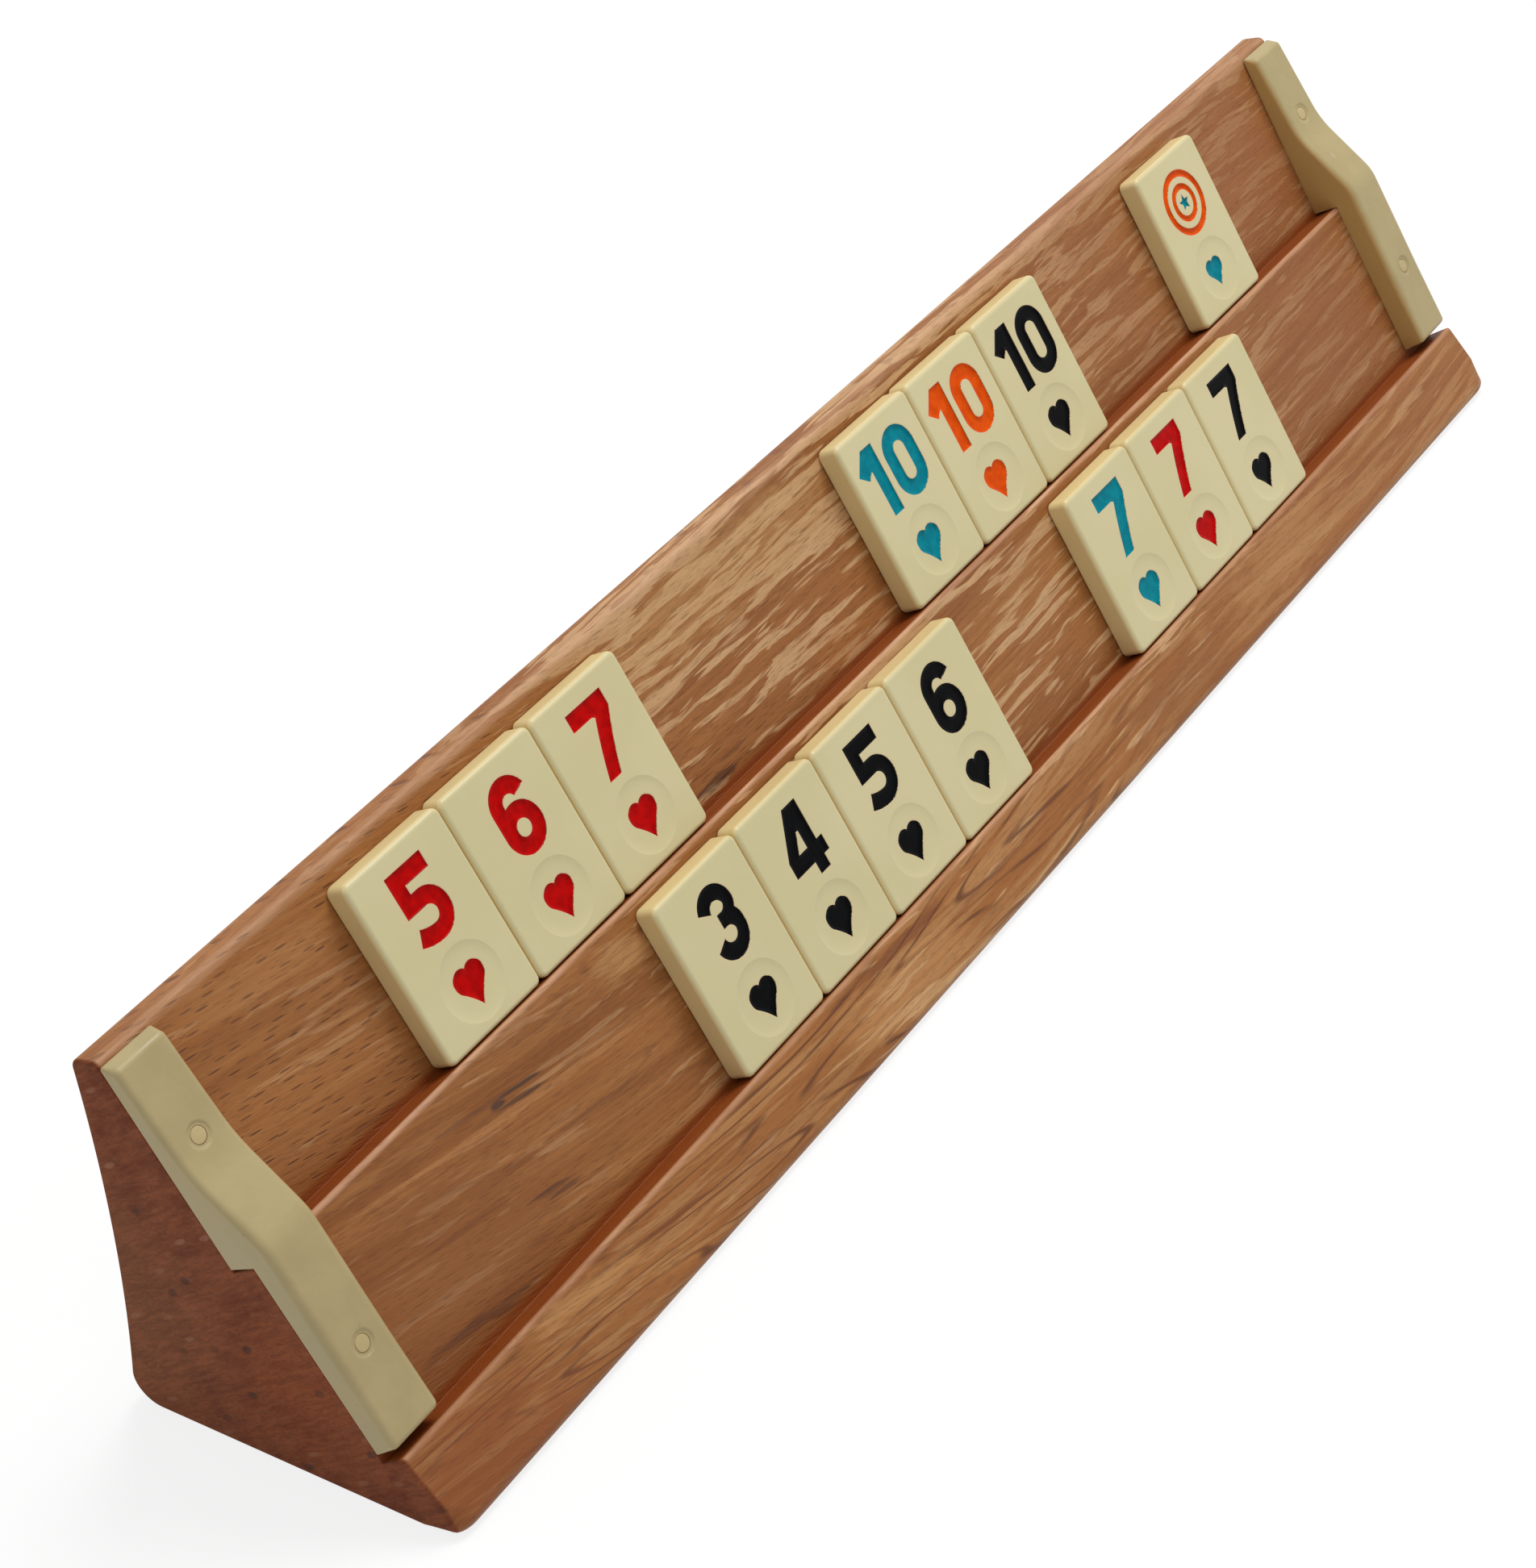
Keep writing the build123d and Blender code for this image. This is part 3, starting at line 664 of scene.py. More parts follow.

# %% [markdown]
# ## Ivory plastic and paint
# Tiles and stops are moulded in an ivory plastic. The tiles' sides are yellower than the
# polished faces: partly dirt, partly painted bounce light from the brown wood. The attribute
# "side", stored when a tile is built, says how far a point has turned away from the face. The
# stops have no attribute: there the mesh's own direction tells the long inner side from the
# front, and the inner side's warm tint is painted bounce light from the wood. A pinkish tint
# at each groove's rim is a painted reflection of the paint.

# %% Tile plastic
def make_tile_plastic():
    material, nodes, shader, place = new_material("tile ivory", specular=0.4)
    cloud = noise_mask(nodes, place, "tile cloud")
    grit = spot_mask(nodes, place, "tile grit")
    side, rim = (nodes.add("ShaderNodeAttribute", attribute_name=name).outputs["Fac"]
                 for name in ("side", "rim"))
    face = nodes.mix(cloud, paint(204, 193, 146), paint(208, 197, 152))
    # the sides' warmer, yellower tint: partly painted bounce light from the brown wood, partly dirt
    colour = nodes.mix(nodes.smooth_step(side, 0.55, 1.0), face, paint(217, 196, 141))
    # painted reflection: a pinkish tint of the paint on the plastic at each groove's rim
    colour = layer(nodes, colour, nodes.math("POWER", rim, 2), 0.45, (214, 176, 140))
    colour = layer(nodes, colour, grit, 0.22, (150, 136, 100))
    rough = nodes.math("MULTIPLY_ADD", cloud, 0.10, 0.30)
    ripple = nodes.noise(place, 2.0, scale=0.35)
    finish_material(nodes, shader, colour, rough, ripple, strength=0.25, distance=0.2 * MM)
    return material


ivory_tile = make_tile_plastic()
print("tile plastic:", ivory_tile.name)

# %% Stop plastic and peg
def make_stop_plastic(name, front, inner, scuffing):
    """Plastic with scuffs and grit. The colour inner, on the inward-facing side, is painted warm bounce
    light from the wood.
    """
    material, nodes, shader, place = new_material(name, specular=0.35)
    cloud = noise_mask(nodes, place, "stop cloud")
    scuffs, grit = (spot_mask(nodes, place, spots) for spots in (scuffing, "stop grit"))
    sideways = nodes.separate(nodes.add("ShaderNodeTexCoord").outputs["Normal"])[0]
    which_end = nodes.math("SIGN", nodes.separate(place)[0])
    inwards = nodes.product(sideways, which_end, -1)
    colour = nodes.mix(cloud, paint(*front), paint(*(v + 6 for v in front)))
    # painted bounce light: the side that faces the wood gets a warm tint
    colour = nodes.mix(nodes.smooth_step(inwards, 0.5, 0.95), colour, paint(*inner))
    colour = layer(nodes, colour, scuffs, 0.22, (206, 200, 182))
    colour = layer(nodes, colour, grit, 0.30, (128, 110, 74))
    rough = nodes.math("MULTIPLY_ADD", cloud, 0.12, 0.36)
    height = nodes.math("MULTIPLY_ADD", scuffs, -0.4, nodes.noise(place, 3.0, scale=0.5))
    finish_material(nodes, shader, colour, rough, height, strength=0.35, distance=0.25 * MM)
    return material


# the second colour is painted warm bounce light on the side that faces the rack
ivory_stop = make_stop_plastic("stop ivory", (169, 152, 107), (182, 148, 90), "stop scuffs")
peg_plastic = make_stop_plastic("peg", (184, 164, 116), (184, 164, 116), "peg scuffs")
print("stop plastics:", ivory_stop.name, "and", peg_plastic.name)

# %% Enamel paint
def make_enamel(name, colour, deep):
    """Glossy paint, a little darker in small patches where it has run together."""
    material, nodes, shader, place = new_material(name, specular=0.05)
    pooled = noise_mask(nodes, place, "pooled paint")
    colour = layer(nodes, paint(*colour), pooled, 0.6, deep)
    rough = nodes.math("MULTIPLY_ADD", pooled, 0.10, 0.16)
    ripple = nodes.noise(place, 2.0, scale=1.3)
    finish_material(nodes, shader, colour, rough, ripple, strength=0.3, distance=0.12 * MM)
    return material


paints = {"red": make_enamel("red enamel", (190, 0, 0), (150, 0, 0)),
          "teal": make_enamel("teal enamel", (0, 132, 146), (0, 108, 126)),
          "orange": make_enamel("orange enamel", (226, 82, 0), (200, 62, 0)),
          "black": make_enamel("black enamel", (3, 4, 6), (1, 1, 2))}
print("enamels:", list(paints))

# %% [markdown]
# ## One swept bar for the rack and the stops
# The rack and both end stops are bars: one cross-section carried along the rack's length. On
# the real rack the section is cut by a moulding machine and the sawn ends are sanded over, so
# the ends have a small rounding. Geometry Nodes suit this: a polyline gives the section's
# corners, each corner point carries its own radius, Fillet Curve rounds it and Curve to Mesh
# sweeps it. The rows near each end then step inwards along a quarter circle, which rounds the
# end. The section's place and its outward direction are stored first, so the rows are put
# exactly where the sizes say.

# %% The swept bar as a node tree
def finish_tree(nodes, geometry, material, output):
    """The last two nodes of a tree: plain geometry with its material."""
    real = nodes.add("GeometryNodeRealizeInstances", {"Geometry": geometry}).outputs[0]
    coated = nodes.add("GeometryNodeSetMaterial", {"Geometry": real, "Material": material})
    nodes.plug(output, coated.outputs[0])


def swept_bar_tree():
    tree, nodes, given, result = new_group("swept bar", "GeometryNodeTree", [
        ("Outline", "NodeSocketGeometry", None), ("Start", "NodeSocketFloat", 0.0),
        ("Length", "NodeSocketFloat", 0.1), ("Rows", "NodeSocketInt", 60),
        ("End Rows", "NodeSocketInt", 6), ("Corner Steps", "NodeSocketInt", 10),
        ("Material", "NodeSocketMaterial", None)], [("Bar", "NodeSocketGeometry")])

    def stored(name, kind="FLOAT"):
        return nodes.add("GeometryNodeInputNamedAttribute", {"Name": name}, data_type=kind).outputs[0]

    def store(geometry, name, value, kind="FLOAT"):
        node = nodes.add("GeometryNodeStoreNamedAttribute",
                         {"Geometry": geometry, "Name": name, "Value": value}, data_type=kind)
        return node.outputs[0]

    outline = nodes.add("GeometryNodeMeshToCurve", {"Mesh": given["Outline"]}).outputs[0]
    outline = nodes.add("GeometryNodeFilletCurve",
                        {"Curve": outline, "Count": given["Corner Steps"],
                         "Radius": stored("corner_radius"), "Limit Radius": True},
                        mode="POLY").outputs[0]
    tangent = nodes.add("GeometryNodeInputTangent").outputs[0]
    facing = nodes.vector("CROSS_PRODUCT", tangent, (0, 0, 1))
    outline = store(outline, "facing", facing, "FLOAT_VECTOR")
    here = nodes.add("GeometryNodeInputPosition").outputs[0]
    outline = store(outline, "place", here, "FLOAT_VECTOR")

    rail = nodes.add("GeometryNodeCurvePrimitiveLine", {"End": (1, 0, 0)}).outputs[0]
    rail = nodes.add("GeometryNodeResampleCurve", {"Curve": rail, "Count": given["Rows"]}).outputs[0]
    rail = store(rail, "row", nodes.add("GeometryNodeInputIndex").outputs[0])
    bar = nodes.add("GeometryNodeCurveToMesh",
                    {"Curve": rail, "Profile Curve": outline, "Fill Caps": True}).outputs[0]

    row, radius, sink = stored("row"), stored("end_radius"), stored("end_sink")
    last = nodes.math("SUBTRACT", given["Rows"], 1)
    turns = []
    for steps in (row, nodes.math("SUBTRACT", last, row)):
        steps = nodes.math("MINIMUM", steps, given["End Rows"])
        share = nodes.math("DIVIDE", steps, given["End Rows"])
        turns.append(nodes.math("MULTIPLY", share, math.pi / 2))
    inset = nodes.math("SUBTRACT", 2, nodes.math("ADD", *[nodes.math("SINE", t) for t in turns]))
    middle_rows = nodes.math("SUBTRACT", last, nodes.math("MULTIPLY", given["End Rows"], 2))
    middle = nodes.math("SUBTRACT", row, given["End Rows"])
    middle = nodes.math("DIVIDE", middle, middle_rows, clamp=True)
    flat = nodes.math("SUBTRACT", given["Length"], nodes.math("MULTIPLY", radius, 2))
    bow = nodes.math("SUBTRACT", *[nodes.math("COSINE", t) for t in reversed(turns)])
    x = nodes.math("ADD", given["Start"], nodes.math("MULTIPLY", middle, flat))
    x = nodes.math("ADD", x, nodes.math("MULTIPLY", radius, nodes.math("ADD", bow, 1)))
    shift = nodes.scaled(stored("facing", "FLOAT_VECTOR"), nodes.math("MULTIPLY", inset, sink))
    section = nodes.separate(nodes.vector("SUBTRACT", stored("place", "FLOAT_VECTOR"), shift))
    place = nodes.combine(x, nodes.math("MULTIPLY", section[0], -1), section[1])
    bar = nodes.add("GeometryNodeSetPosition", {"Geometry": bar, "Position": place}).outputs[0]
    finish_tree(nodes, bar, given["Material"], result["Bar"])
    return tree


swept_bar = swept_bar_tree()
print("swept bar tree has", len(swept_bar.nodes), "nodes")

# %% Make a bar from corner points
SHARP_DEGREES = 32


def set_inputs(modifier, **values):
    """Sets a Geometry Nodes modifier's inputs by the socket's identifier."""
    for item in modifier.node_group.interface.items_tree:
        key = item.name.replace(" ", "_")
        if item.in_out == "INPUT" and key in values:
            modifier[item.identifier] = values[key]


def make_bar(name, corners, start, length, rows, material):
    """corners is a list of (forward, up, corner radius, end radius), all in millimetres.

    A fifth number makes the end's rounding shallower than it is long."""
    corners = [(*c, c[3])[:5] for c in corners]
    area = sum(a[0] * b[1] - b[0] * a[1] for a, b in zip(corners, corners[1:] + corners[:1]))
    if area < 0:
        corners = corners[::-1]
    count = len(corners)
    mesh = bpy.data.meshes.new(name)
    mesh.from_pydata([(c[0] * MM, c[1] * MM, 0) for c in corners],
                     [(i, (i + 1) % count) for i in range(count)], [])
    labels = ("corner_radius", "end_radius", "end_sink")
    for column, label in enumerate(labels, start=2):
        store_floats(mesh, label, [c[column] * MM for c in corners])
    thing = new_object(name, mesh)
    sweep = thing.modifiers.new("sweep", "NODES")
    sweep.node_group = swept_bar
    set_inputs(sweep, Start=start * MM, Length=length * MM, Rows=rows, End_Rows=6, Corner_Steps=10,
               Material=material)
    bar = evaluated_copy(thing, name, drop=(*labels, "facing", "place", "row"))
    tidy_normals(bar, SHARP_DEGREES)
    return bar


print("bars can be made")

# %% [markdown]
# ## The peg holes
# Each stop is held by two round pegs. They need real holes, through the stop and into
# the wood, cut with an exact Boolean by a plain round cutter. Weighted normals afterwards keep
# the big flat faces flat where the cut has left slim triangles.

# %% The stop's front and the pegs' places
TOP_BEND, SWELL_START, SWELL_END, BOTTOM_BEND = (44.9, 4.1), (21.5, 5.8), (4.5, 13.7), (-41.9, 13.7)
ARM_TAPER = math.atan2(SWELL_START[1] - TOP_BEND[1], TOP_BEND[0] - SWELL_START[0])


def rounded_bend(before, corner, after, radius, steps=14):
    """Points on the arc that rounds a corner of a polyline."""
    corner = np.array(corner)
    to_before, to_after = (np.array(p) - corner for p in (before, after))
    to_before, to_after = (v / np.linalg.norm(v) for v in (to_before, to_after))
    half = math.acos(float(to_before @ to_after)) / 2
    middle = (to_before + to_after) / np.linalg.norm(to_before + to_after)
    centre = corner + middle * radius / math.sin(half)
    first, last = (corner + v * radius / math.tan(half) - centre for v in (to_before, to_after))
    turn = math.pi - 2 * half
    return [centre + (first * math.sin(turn * (1 - s)) + last * math.sin(turn * s)) / math.sin(turn)
            for s in np.linspace(0, 1, steps)]


stop_front = np.array([TOP_BEND, *rounded_bend(TOP_BEND, SWELL_START, SWELL_END, radius=25.0),
                       *rounded_bend(SWELL_START, SWELL_END, BOTTOM_BEND, radius=12.0), BOTTOM_BEND])


def stop_face(along):
    """How far out the stop's front lies, at one height or many along the slope."""
    return np.interp(along, stop_front[::-1, 0], stop_front[::-1, 1])


PEG_X = 219.85
PEG_SEATS = [(26.1, ARM_TAPER), (-21.9, 0.0)]
PEG_PLACES = [(side * PEG_X, along, lean) for side in (-1, 1) for along, lean in PEG_SEATS]


def peg_matrix(x, along, lean):
    """A place on the stop's face, whose z stands square to it."""
    return slope_matrix(x, along, stop_face(along)) @ Matrix.Rotation(-lean, 4, "X")


print(len(PEG_PLACES), "pegs")

# %% Cut round holes
PEG_RADIUS = 1.8
HOLE_RADIUS = PEG_RADIUS + 0.02
HOLE_DEPTH = 15.5


def hole_cutter(place, steps=64, above=2):
    turns = [2 * math.pi * i / steps for i in range(steps)]
    ring = [(HOLE_RADIUS * math.cos(t), HOLE_RADIUS * math.sin(t)) for t in turns]
    verts = [(a, b, -HOLE_DEPTH) for a, b in ring] + [(a, b, above) for a, b in ring]
    faces = [(i, (i + 1) % steps, steps + (i + 1) % steps, steps + i) for i in range(steps)]
    faces += [tuple(range(steps))[::-1], tuple(range(steps, 2 * steps))]
    mesh = plain_mesh("cutter", verts, faces)
    mesh.transform(peg_matrix(*place))
    return mesh


def cut_peg_holes(mesh, places, name):
    """Cuts peg holes into a mesh and weights its normals by face area."""
    thing = new_object(name, mesh)
    tools = [new_object("cutter", hole_cutter(place)) for place in places]
    for tool in tools:
        cut = thing.modifiers.new("hole", "BOOLEAN")
        cut.operation, cut.solver, cut.object = "DIFFERENCE", "EXACT", tool
    cut_mesh = evaluated_copy(thing, name + " cut")
    for tool in tools:
        bpy.data.objects.remove(tool)
    tidy_normals(cut_mesh, SHARP_DEGREES)
    thing = new_object(name, cut_mesh)
    weigh = thing.modifiers.new("even normals", "WEIGHTED_NORMAL")
    weigh.weight, weigh.keep_sharp = 60, True
    return evaluated_copy(thing, name)


print("holes are", HOLE_DEPTH, "mm deep")

# %% [markdown]
# ## The rack
# The section's corners come from the sizes of the two tiers, so the ledges stay square to the
# slope. The hollow back is an arc through three points; a few dozen points on it are enough,
# because the face is nearly flat.

# %% The rack's section
RACK_LENGTH = 453.0
END_ROUNDING = 0.7
INNER_RADIUS, INNER_ROUNDING = 0.15, END_ROUNDING * 0.3


def arc_through(first, middle, last, steps):
    """Points on the circle through three points, from first to last."""
    (ax, ay), (bx, by), (cx, cy) = first, middle, last
    d = 2 * (ax * (by - cy) + bx * (cy - ay) + cx * (ay - by))
    a2, b2, c2 = ax * ax + ay * ay, bx * bx + by * by, cx * cx + cy * cy
    x = (a2 * (by - cy) + b2 * (cy - ay) + c2 * (ay - by)) / d
    y = (a2 * (cx - bx) + b2 * (ax - cx) + c2 * (bx - ax)) / d
    start, end = math.atan2(ay - y, ax - x), math.atan2(cy - y, cx - x)
    radius = math.hypot(ax - x, ay - y)
    return [(x + radius * math.cos(t), y + radius * math.sin(t))
            for t in (start + (end - start) * i / steps for i in range(1, steps))]


top_back, top_front = (-27.301, 92.4), (-20.501, 94.0)
foot, nose = (-42.87, 0.0), (43.47, 0.0)
back_middle = (-33.63, 38.81)
FOOT_CLEARANCE, TOP_CLEARANCE, NOSE_GUARD = 9, 4, 12
hollow = [point for point in arc_through(foot, back_middle, top_back, 40)
          if math.dist(point, foot) > FOOT_CLEARANCE and math.dist(point, top_back) > TOP_CLEARANCE]
lip = forward_up(HOOK_RISE - TIER_DROP, LEDGE_DEPTH + LIP_DEPTH)

# the nose's rounding runs 5 mm along the rack but only 2.3 mm into it; plain corners on both
# sides of it keep that rounding from spreading over the base and the front
rack_corners = [
    (*foot, 6.0, END_ROUNDING), (nose[0] - NOSE_GUARD, 0.0, 0.0, END_ROUNDING),
    (*nose, 2.5, 5.0, 2.3),
    ((nose[0] + lip[0]) / 2, lip[1] / 2, 0.0, END_ROUNDING), (*lip, 0.8, END_ROUNDING),
    (*forward_up(-TIER_DROP, LEDGE_DEPTH), INNER_RADIUS, INNER_ROUNDING),
    (*forward_up(HOOK_RISE, LEDGE_DEPTH), 0.8, END_ROUNDING),
    (*forward_up(0, 0), INNER_RADIUS, INNER_ROUNDING),
    (*top_front, 1.8, END_ROUNDING), (*top_back, 2.6, END_ROUNDING),
] + [(*point, 0.0, END_ROUNDING) for point in reversed(hollow)]
wood_shape = make_bar("rack block", rack_corners, start=-RACK_LENGTH / 2, length=RACK_LENGTH,
                      rows=64, material=stained_beech)
wood_shape = cut_peg_holes(wood_shape, PEG_PLACES, "rack block")
add_piece("rack_block", wood_shape, "rack", ["rack_body"])
print("rack block:", len(wood_shape.polygons), "faces")

# %% [markdown]
# ## The end stops
# Each stop is a moulded plastic bar that bends over the upper ledge, thicker where it passes
# from one tier to the other. Its front edges are soft. Round each peg the plastic sinks into a
# shallow ring, so the section gets close points there and the rows stand close together: then
# moving single points inwards is enough to model the ring.

# %% The stop's section and its rings
STOP_WIDTH, STOP_GAP = 13.3, 0.05
SOFT_EDGE, LOWER_SOFT_EDGE = 1.3, 1.7
RING_REACH, RING_SOFTNESS, RING_DEPTH = 2.75, 0.45, 0.3


def soft_edge(along):
    """The rounding of the stop's long front edges, wider on the lower tier."""
    return float(np.interp(along, (6, 16), (LOWER_SOFT_EDGE, SOFT_EDGE)))


def stop_section(reach=3.4, step=0.26):
    """The section's corners. Near the pegs the points stand close together."""
    heights = [h for h in stop_front[1:-1, 0] if all(abs(h - peg) > reach for peg, _ in PEG_SEATS)]
    for peg, _ in PEG_SEATS:
        heights += list(np.arange(peg - reach, peg + reach, step))
    heights = sorted((float(h) for h in heights), reverse=True)
    front = [(h, float(stop_face(h)), 0.0, soft_edge(h)) for h in heights]
    upper_back, lower_back = STOP_GAP, LEDGE_DEPTH + STOP_GAP
    over_ledge = HOOK_RISE + STOP_GAP
    top = [(46.5, upper_back, 0.7, 0.5), (*TOP_BEND, 1.5, SOFT_EDGE)]
    back = [(*BOTTOM_BEND, 1.5, SOFT_EDGE), (-42.8, lower_back, 0.4, 0.3),
            (over_ledge, lower_back, 0.0, 0.0), (over_ledge, upper_back, 0.0, 0.0)]
    return [(*forward_up(along, out), corner, end) for along, out, corner, end in top + front + back]


def sink_rings(mesh, x):
    """Presses a shallow ring into the stop's front round each peg."""
    points = np.empty(len(mesh.vertices) * 3)
    mesh.vertices.foreach_get("co", points)
    points = points.reshape(-1, 3) / MM
    corner, up, out = (np.array(v) for v in (UPPER_CORNER, UPHILL, OUTWARD))
    along, height = (points - corner) @ up, (points - corner) @ out
    for centre, _ in PEG_SEATS:
        away = np.hypot(points[:, 0] - x, along - centre)
        share = np.clip((away - RING_REACH + RING_SOFTNESS) / RING_SOFTNESS, 0, 1)
        press = RING_DEPTH * (1 - share * share * (3 - 2 * share))
        press[np.abs(height - stop_face(along)) > 0.05] = 0
        points -= out * press[:, None]
    mesh.vertices.foreach_set("co", (points * MM).ravel())
    mesh.update()


print("the stop's section has", len(stop_section()), "corners")

# %% Both stops
for side, end in ((-1, "left"), (1, "right")):
    name = end + "_stop"
    middle = side * (RACK_LENGTH - STOP_WIDTH) / 2
    shape = make_bar(name, stop_section(), start=middle - STOP_WIDTH / 2, length=STOP_WIDTH,
                     rows=60, material=ivory_stop)
    sink_rings(shape, middle)
    shape = cut_peg_holes(shape, [place for place in PEG_PLACES if place[0] * side > 0], name)
    add_piece(name, shape, "rack", [end + "_end_stop"])
    print(name, len(shape.polygons), "faces")

# %% [markdown]
# ## The pegs
# Four equal pegs sit in the holes. One peg is a cylinder whose front edge is rounded over by a
# formula; Instance on Points puts it on a point for each hole, turned square to the stop's face.
# Each point carries how far that face leans back from the slope.

# %% Pegs by Geometry Nodes
PEG_LENGTH = 14.0
PEG_SUNK = 0.17
PEG_EDGE = 0.3


def peg_tree():
    tree, nodes, given, result = new_group("pegs on points", "GeometryNodeTree", [
        ("Points", "NodeSocketGeometry", None), ("Radius", "NodeSocketFloat", 0.0018),
        ("Depth", "NodeSocketFloat", 0.014), ("Edge", "NodeSocketFloat", 0.0003),
        ("Tilt", "NodeSocketFloat", 1.0), ("Material", "NodeSocketMaterial", None)],
        [("Pegs", "NodeSocketGeometry")])
    peg = nodes.add("GeometryNodeMeshCylinder",
                    {"Vertices": 48, "Side Segments": 4, "Fill Segments": 10,
                     "Radius": given["Radius"], "Depth": given["Depth"]}).outputs[0]
    where = nodes.add("GeometryNodeInputPosition").outputs[0]
    across = nodes.vector("LENGTH", nodes.vector("MULTIPLY", where, (1, 1, 0)))
    near_top = nodes.math("MULTIPLY", given["Depth"], 0.49)
    top = nodes.math("GREATER_THAN", nodes.separate(where)[2], near_top)
    inner = nodes.math("SUBTRACT", given["Radius"], given["Edge"])
    over = nodes.math("DIVIDE", nodes.math("SUBTRACT", across, inner), given["Edge"], clamp=True)
    fall = nodes.math("SQRT", nodes.math("SUBTRACT", 1, nodes.math("POWER", over, 2)))
    fall = nodes.math("SUBTRACT", 1, fall)
    bulge = nodes.math("POWER", nodes.math("DIVIDE", across, given["Radius"]), 2)
    drop = nodes.math("MULTIPLY_ADD", bulge, 0.25, nodes.math("MULTIPLY", fall, 0.75))
    drop = nodes.product(drop, given["Edge"], nodes.math("MULTIPLY", top, -1))
    peg = nodes.add("GeometryNodeSetPosition",
                    {"Geometry": peg, "Offset": nodes.combine(z=drop)}).outputs[0]
    lean = nodes.add("GeometryNodeInputNamedAttribute", {"Name": "lean"}, data_type="FLOAT").outputs[0]
    turn = nodes.combine(nodes.math("SUBTRACT", given["Tilt"], lean))
    pegs = nodes.add("GeometryNodeInstanceOnPoints",
                     {"Points": given["Points"], "Instance": peg, "Rotation": turn}).outputs[0]
    finish_tree(nodes, pegs, given["Material"], result["Pegs"])
    return tree


print("each peg is", PEG_LENGTH, "mm long")

# %% Place the pegs
peg_middles = [peg_matrix(*place) @ Vector((0, 0, -PEG_SUNK - PEG_LENGTH / 2)) for place in PEG_PLACES]
points = bpy.data.meshes.new("peg places")
points.from_pydata([tuple(p) for p in peg_middles], [], [])
store_floats(points, "lean", [lean for _, _, lean in PEG_PLACES])
pegs = new_object("pegs", points)
peg_maker = pegs.modifiers.new("pegs", "NODES")
peg_maker.node_group = peg_tree()
set_inputs(peg_maker, Radius=PEG_RADIUS * MM, Depth=PEG_LENGTH * MM, Edge=PEG_EDGE * MM, Tilt=SLOPE,
           Material=peg_plastic)
peg_shape = evaluated_copy(pegs, "pegs", drop=("lean",))
tidy_normals(peg_shape, 40)
peg_nodes = [f"{side}_{tier}_peg" for side in ("left", "right") for tier in ("upper", "lower")]
add_piece("pegs", peg_shape, "rack", peg_nodes)
print("pegs:", len(peg_shape.polygons), "faces")

# %% [markdown]
# ## The tiles: reading the engraving's outline
# Every tile is a pressed ivory plate with a numeral and, below it, a small heart in a round
# dish. Both are engraved with a round-nosed cutter and then painted. The CAD model has the
# same signs with flat bottoms, so their outlines can be read from it: the edges that only one
# triangle of a sign's top face uses are its outline. Joined end to end, they give closed loops.

# %% Outlines of the signs
TILE_WIDTH, TILE_HEIGHT, TILE_THICKNESS = 29.05, 42.3, 5.9
UPPER_FOOT = (0.786, 0.1)
LOWER_FOOT = (UPPER_FOOT[0] - TIER_DROP, UPPER_FOOT[1] + LEDGE_DEPTH)
CAD_PAINT_LEVELS = (TILE_THICKNESS - 0.2, TILE_THICKNESS - 0.65)


def outline_loops(node, to_tile, level, tolerance=0.03):
    """Closed loops round a sign's top faces at one height, in tile millimetres."""
    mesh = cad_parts[node].data
    points = [to_tile @ v.co for v in mesh.vertices]
    keys = [(round(p.x, 3), round(p.y, 3)) for p in points]
    edges = {}
    for face in mesh.polygons:
        if all(abs(points[i].z - level) < tolerance for i in face.vertices):
            ring = [keys[i] for i in face.vertices]
            edges.update({(a, b): True for a, b in zip(ring, ring[1:] + ring[:1]) if a != b})
    following = {a: b for a, b in edges if (b, a) not in edges}
    loops = []
    while following:
        start, here = next(iter(following.items()))
        loop = [start]
        del following[start]
        while here != start and here in following:
            loop.append(here)
            here = following.pop(here)
        loops.append(np.array(loop))
    return loops


def even_points(loop, step):
    """The loop with its long edges divided, so that no edge is longer than step."""
    result = []
    for a, b in zip(loop, np.roll(loop, -1, axis=0)):
        parts = max(1, math.ceil(math.dist(a, b) / step))
        result += [a + (b - a) * i / parts for i in range(parts)]
    return np.array(result)


def tile_place(node):
    """A tile's matrix: its lower left back corner is the origin, in millimetres."""
    low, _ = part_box(node)
    along, out = UPPER_FOOT if node.startswith("upper") else LOWER_FOOT
    return slope_matrix(low.x / MM, along, out)


to_red_5 = tile_place("upper_tile_red_5").inverted()
red_5_loops = outline_loops("upper_enamel_red_5", to_red_5, CAD_PAINT_LEVELS[0])
print("the red 5 has", [len(loop) for loop in red_5_loops], "outline points")

# %% [markdown]
# ## The engraved face
# A round-nosed cutter leaves a groove that falls steeply at the outline and flattens out
# towards its middle, so the depth depends only on the distance to the outline. The face is
# therefore a height field: points on the outline, rings of points just inside it and a loose
# grid further in, joined by a Delaunay triangulation that keeps the outline as edges. The
# height's slope is known at each point, so exact normals can be given to the mesh. They make
# the paint's reflections run smoothly along the groove, whatever the triangles look like.

# %% Distances to the outline
def lengths(rows):
    return np.hypot(rows[:, 0], rows[:, 1])


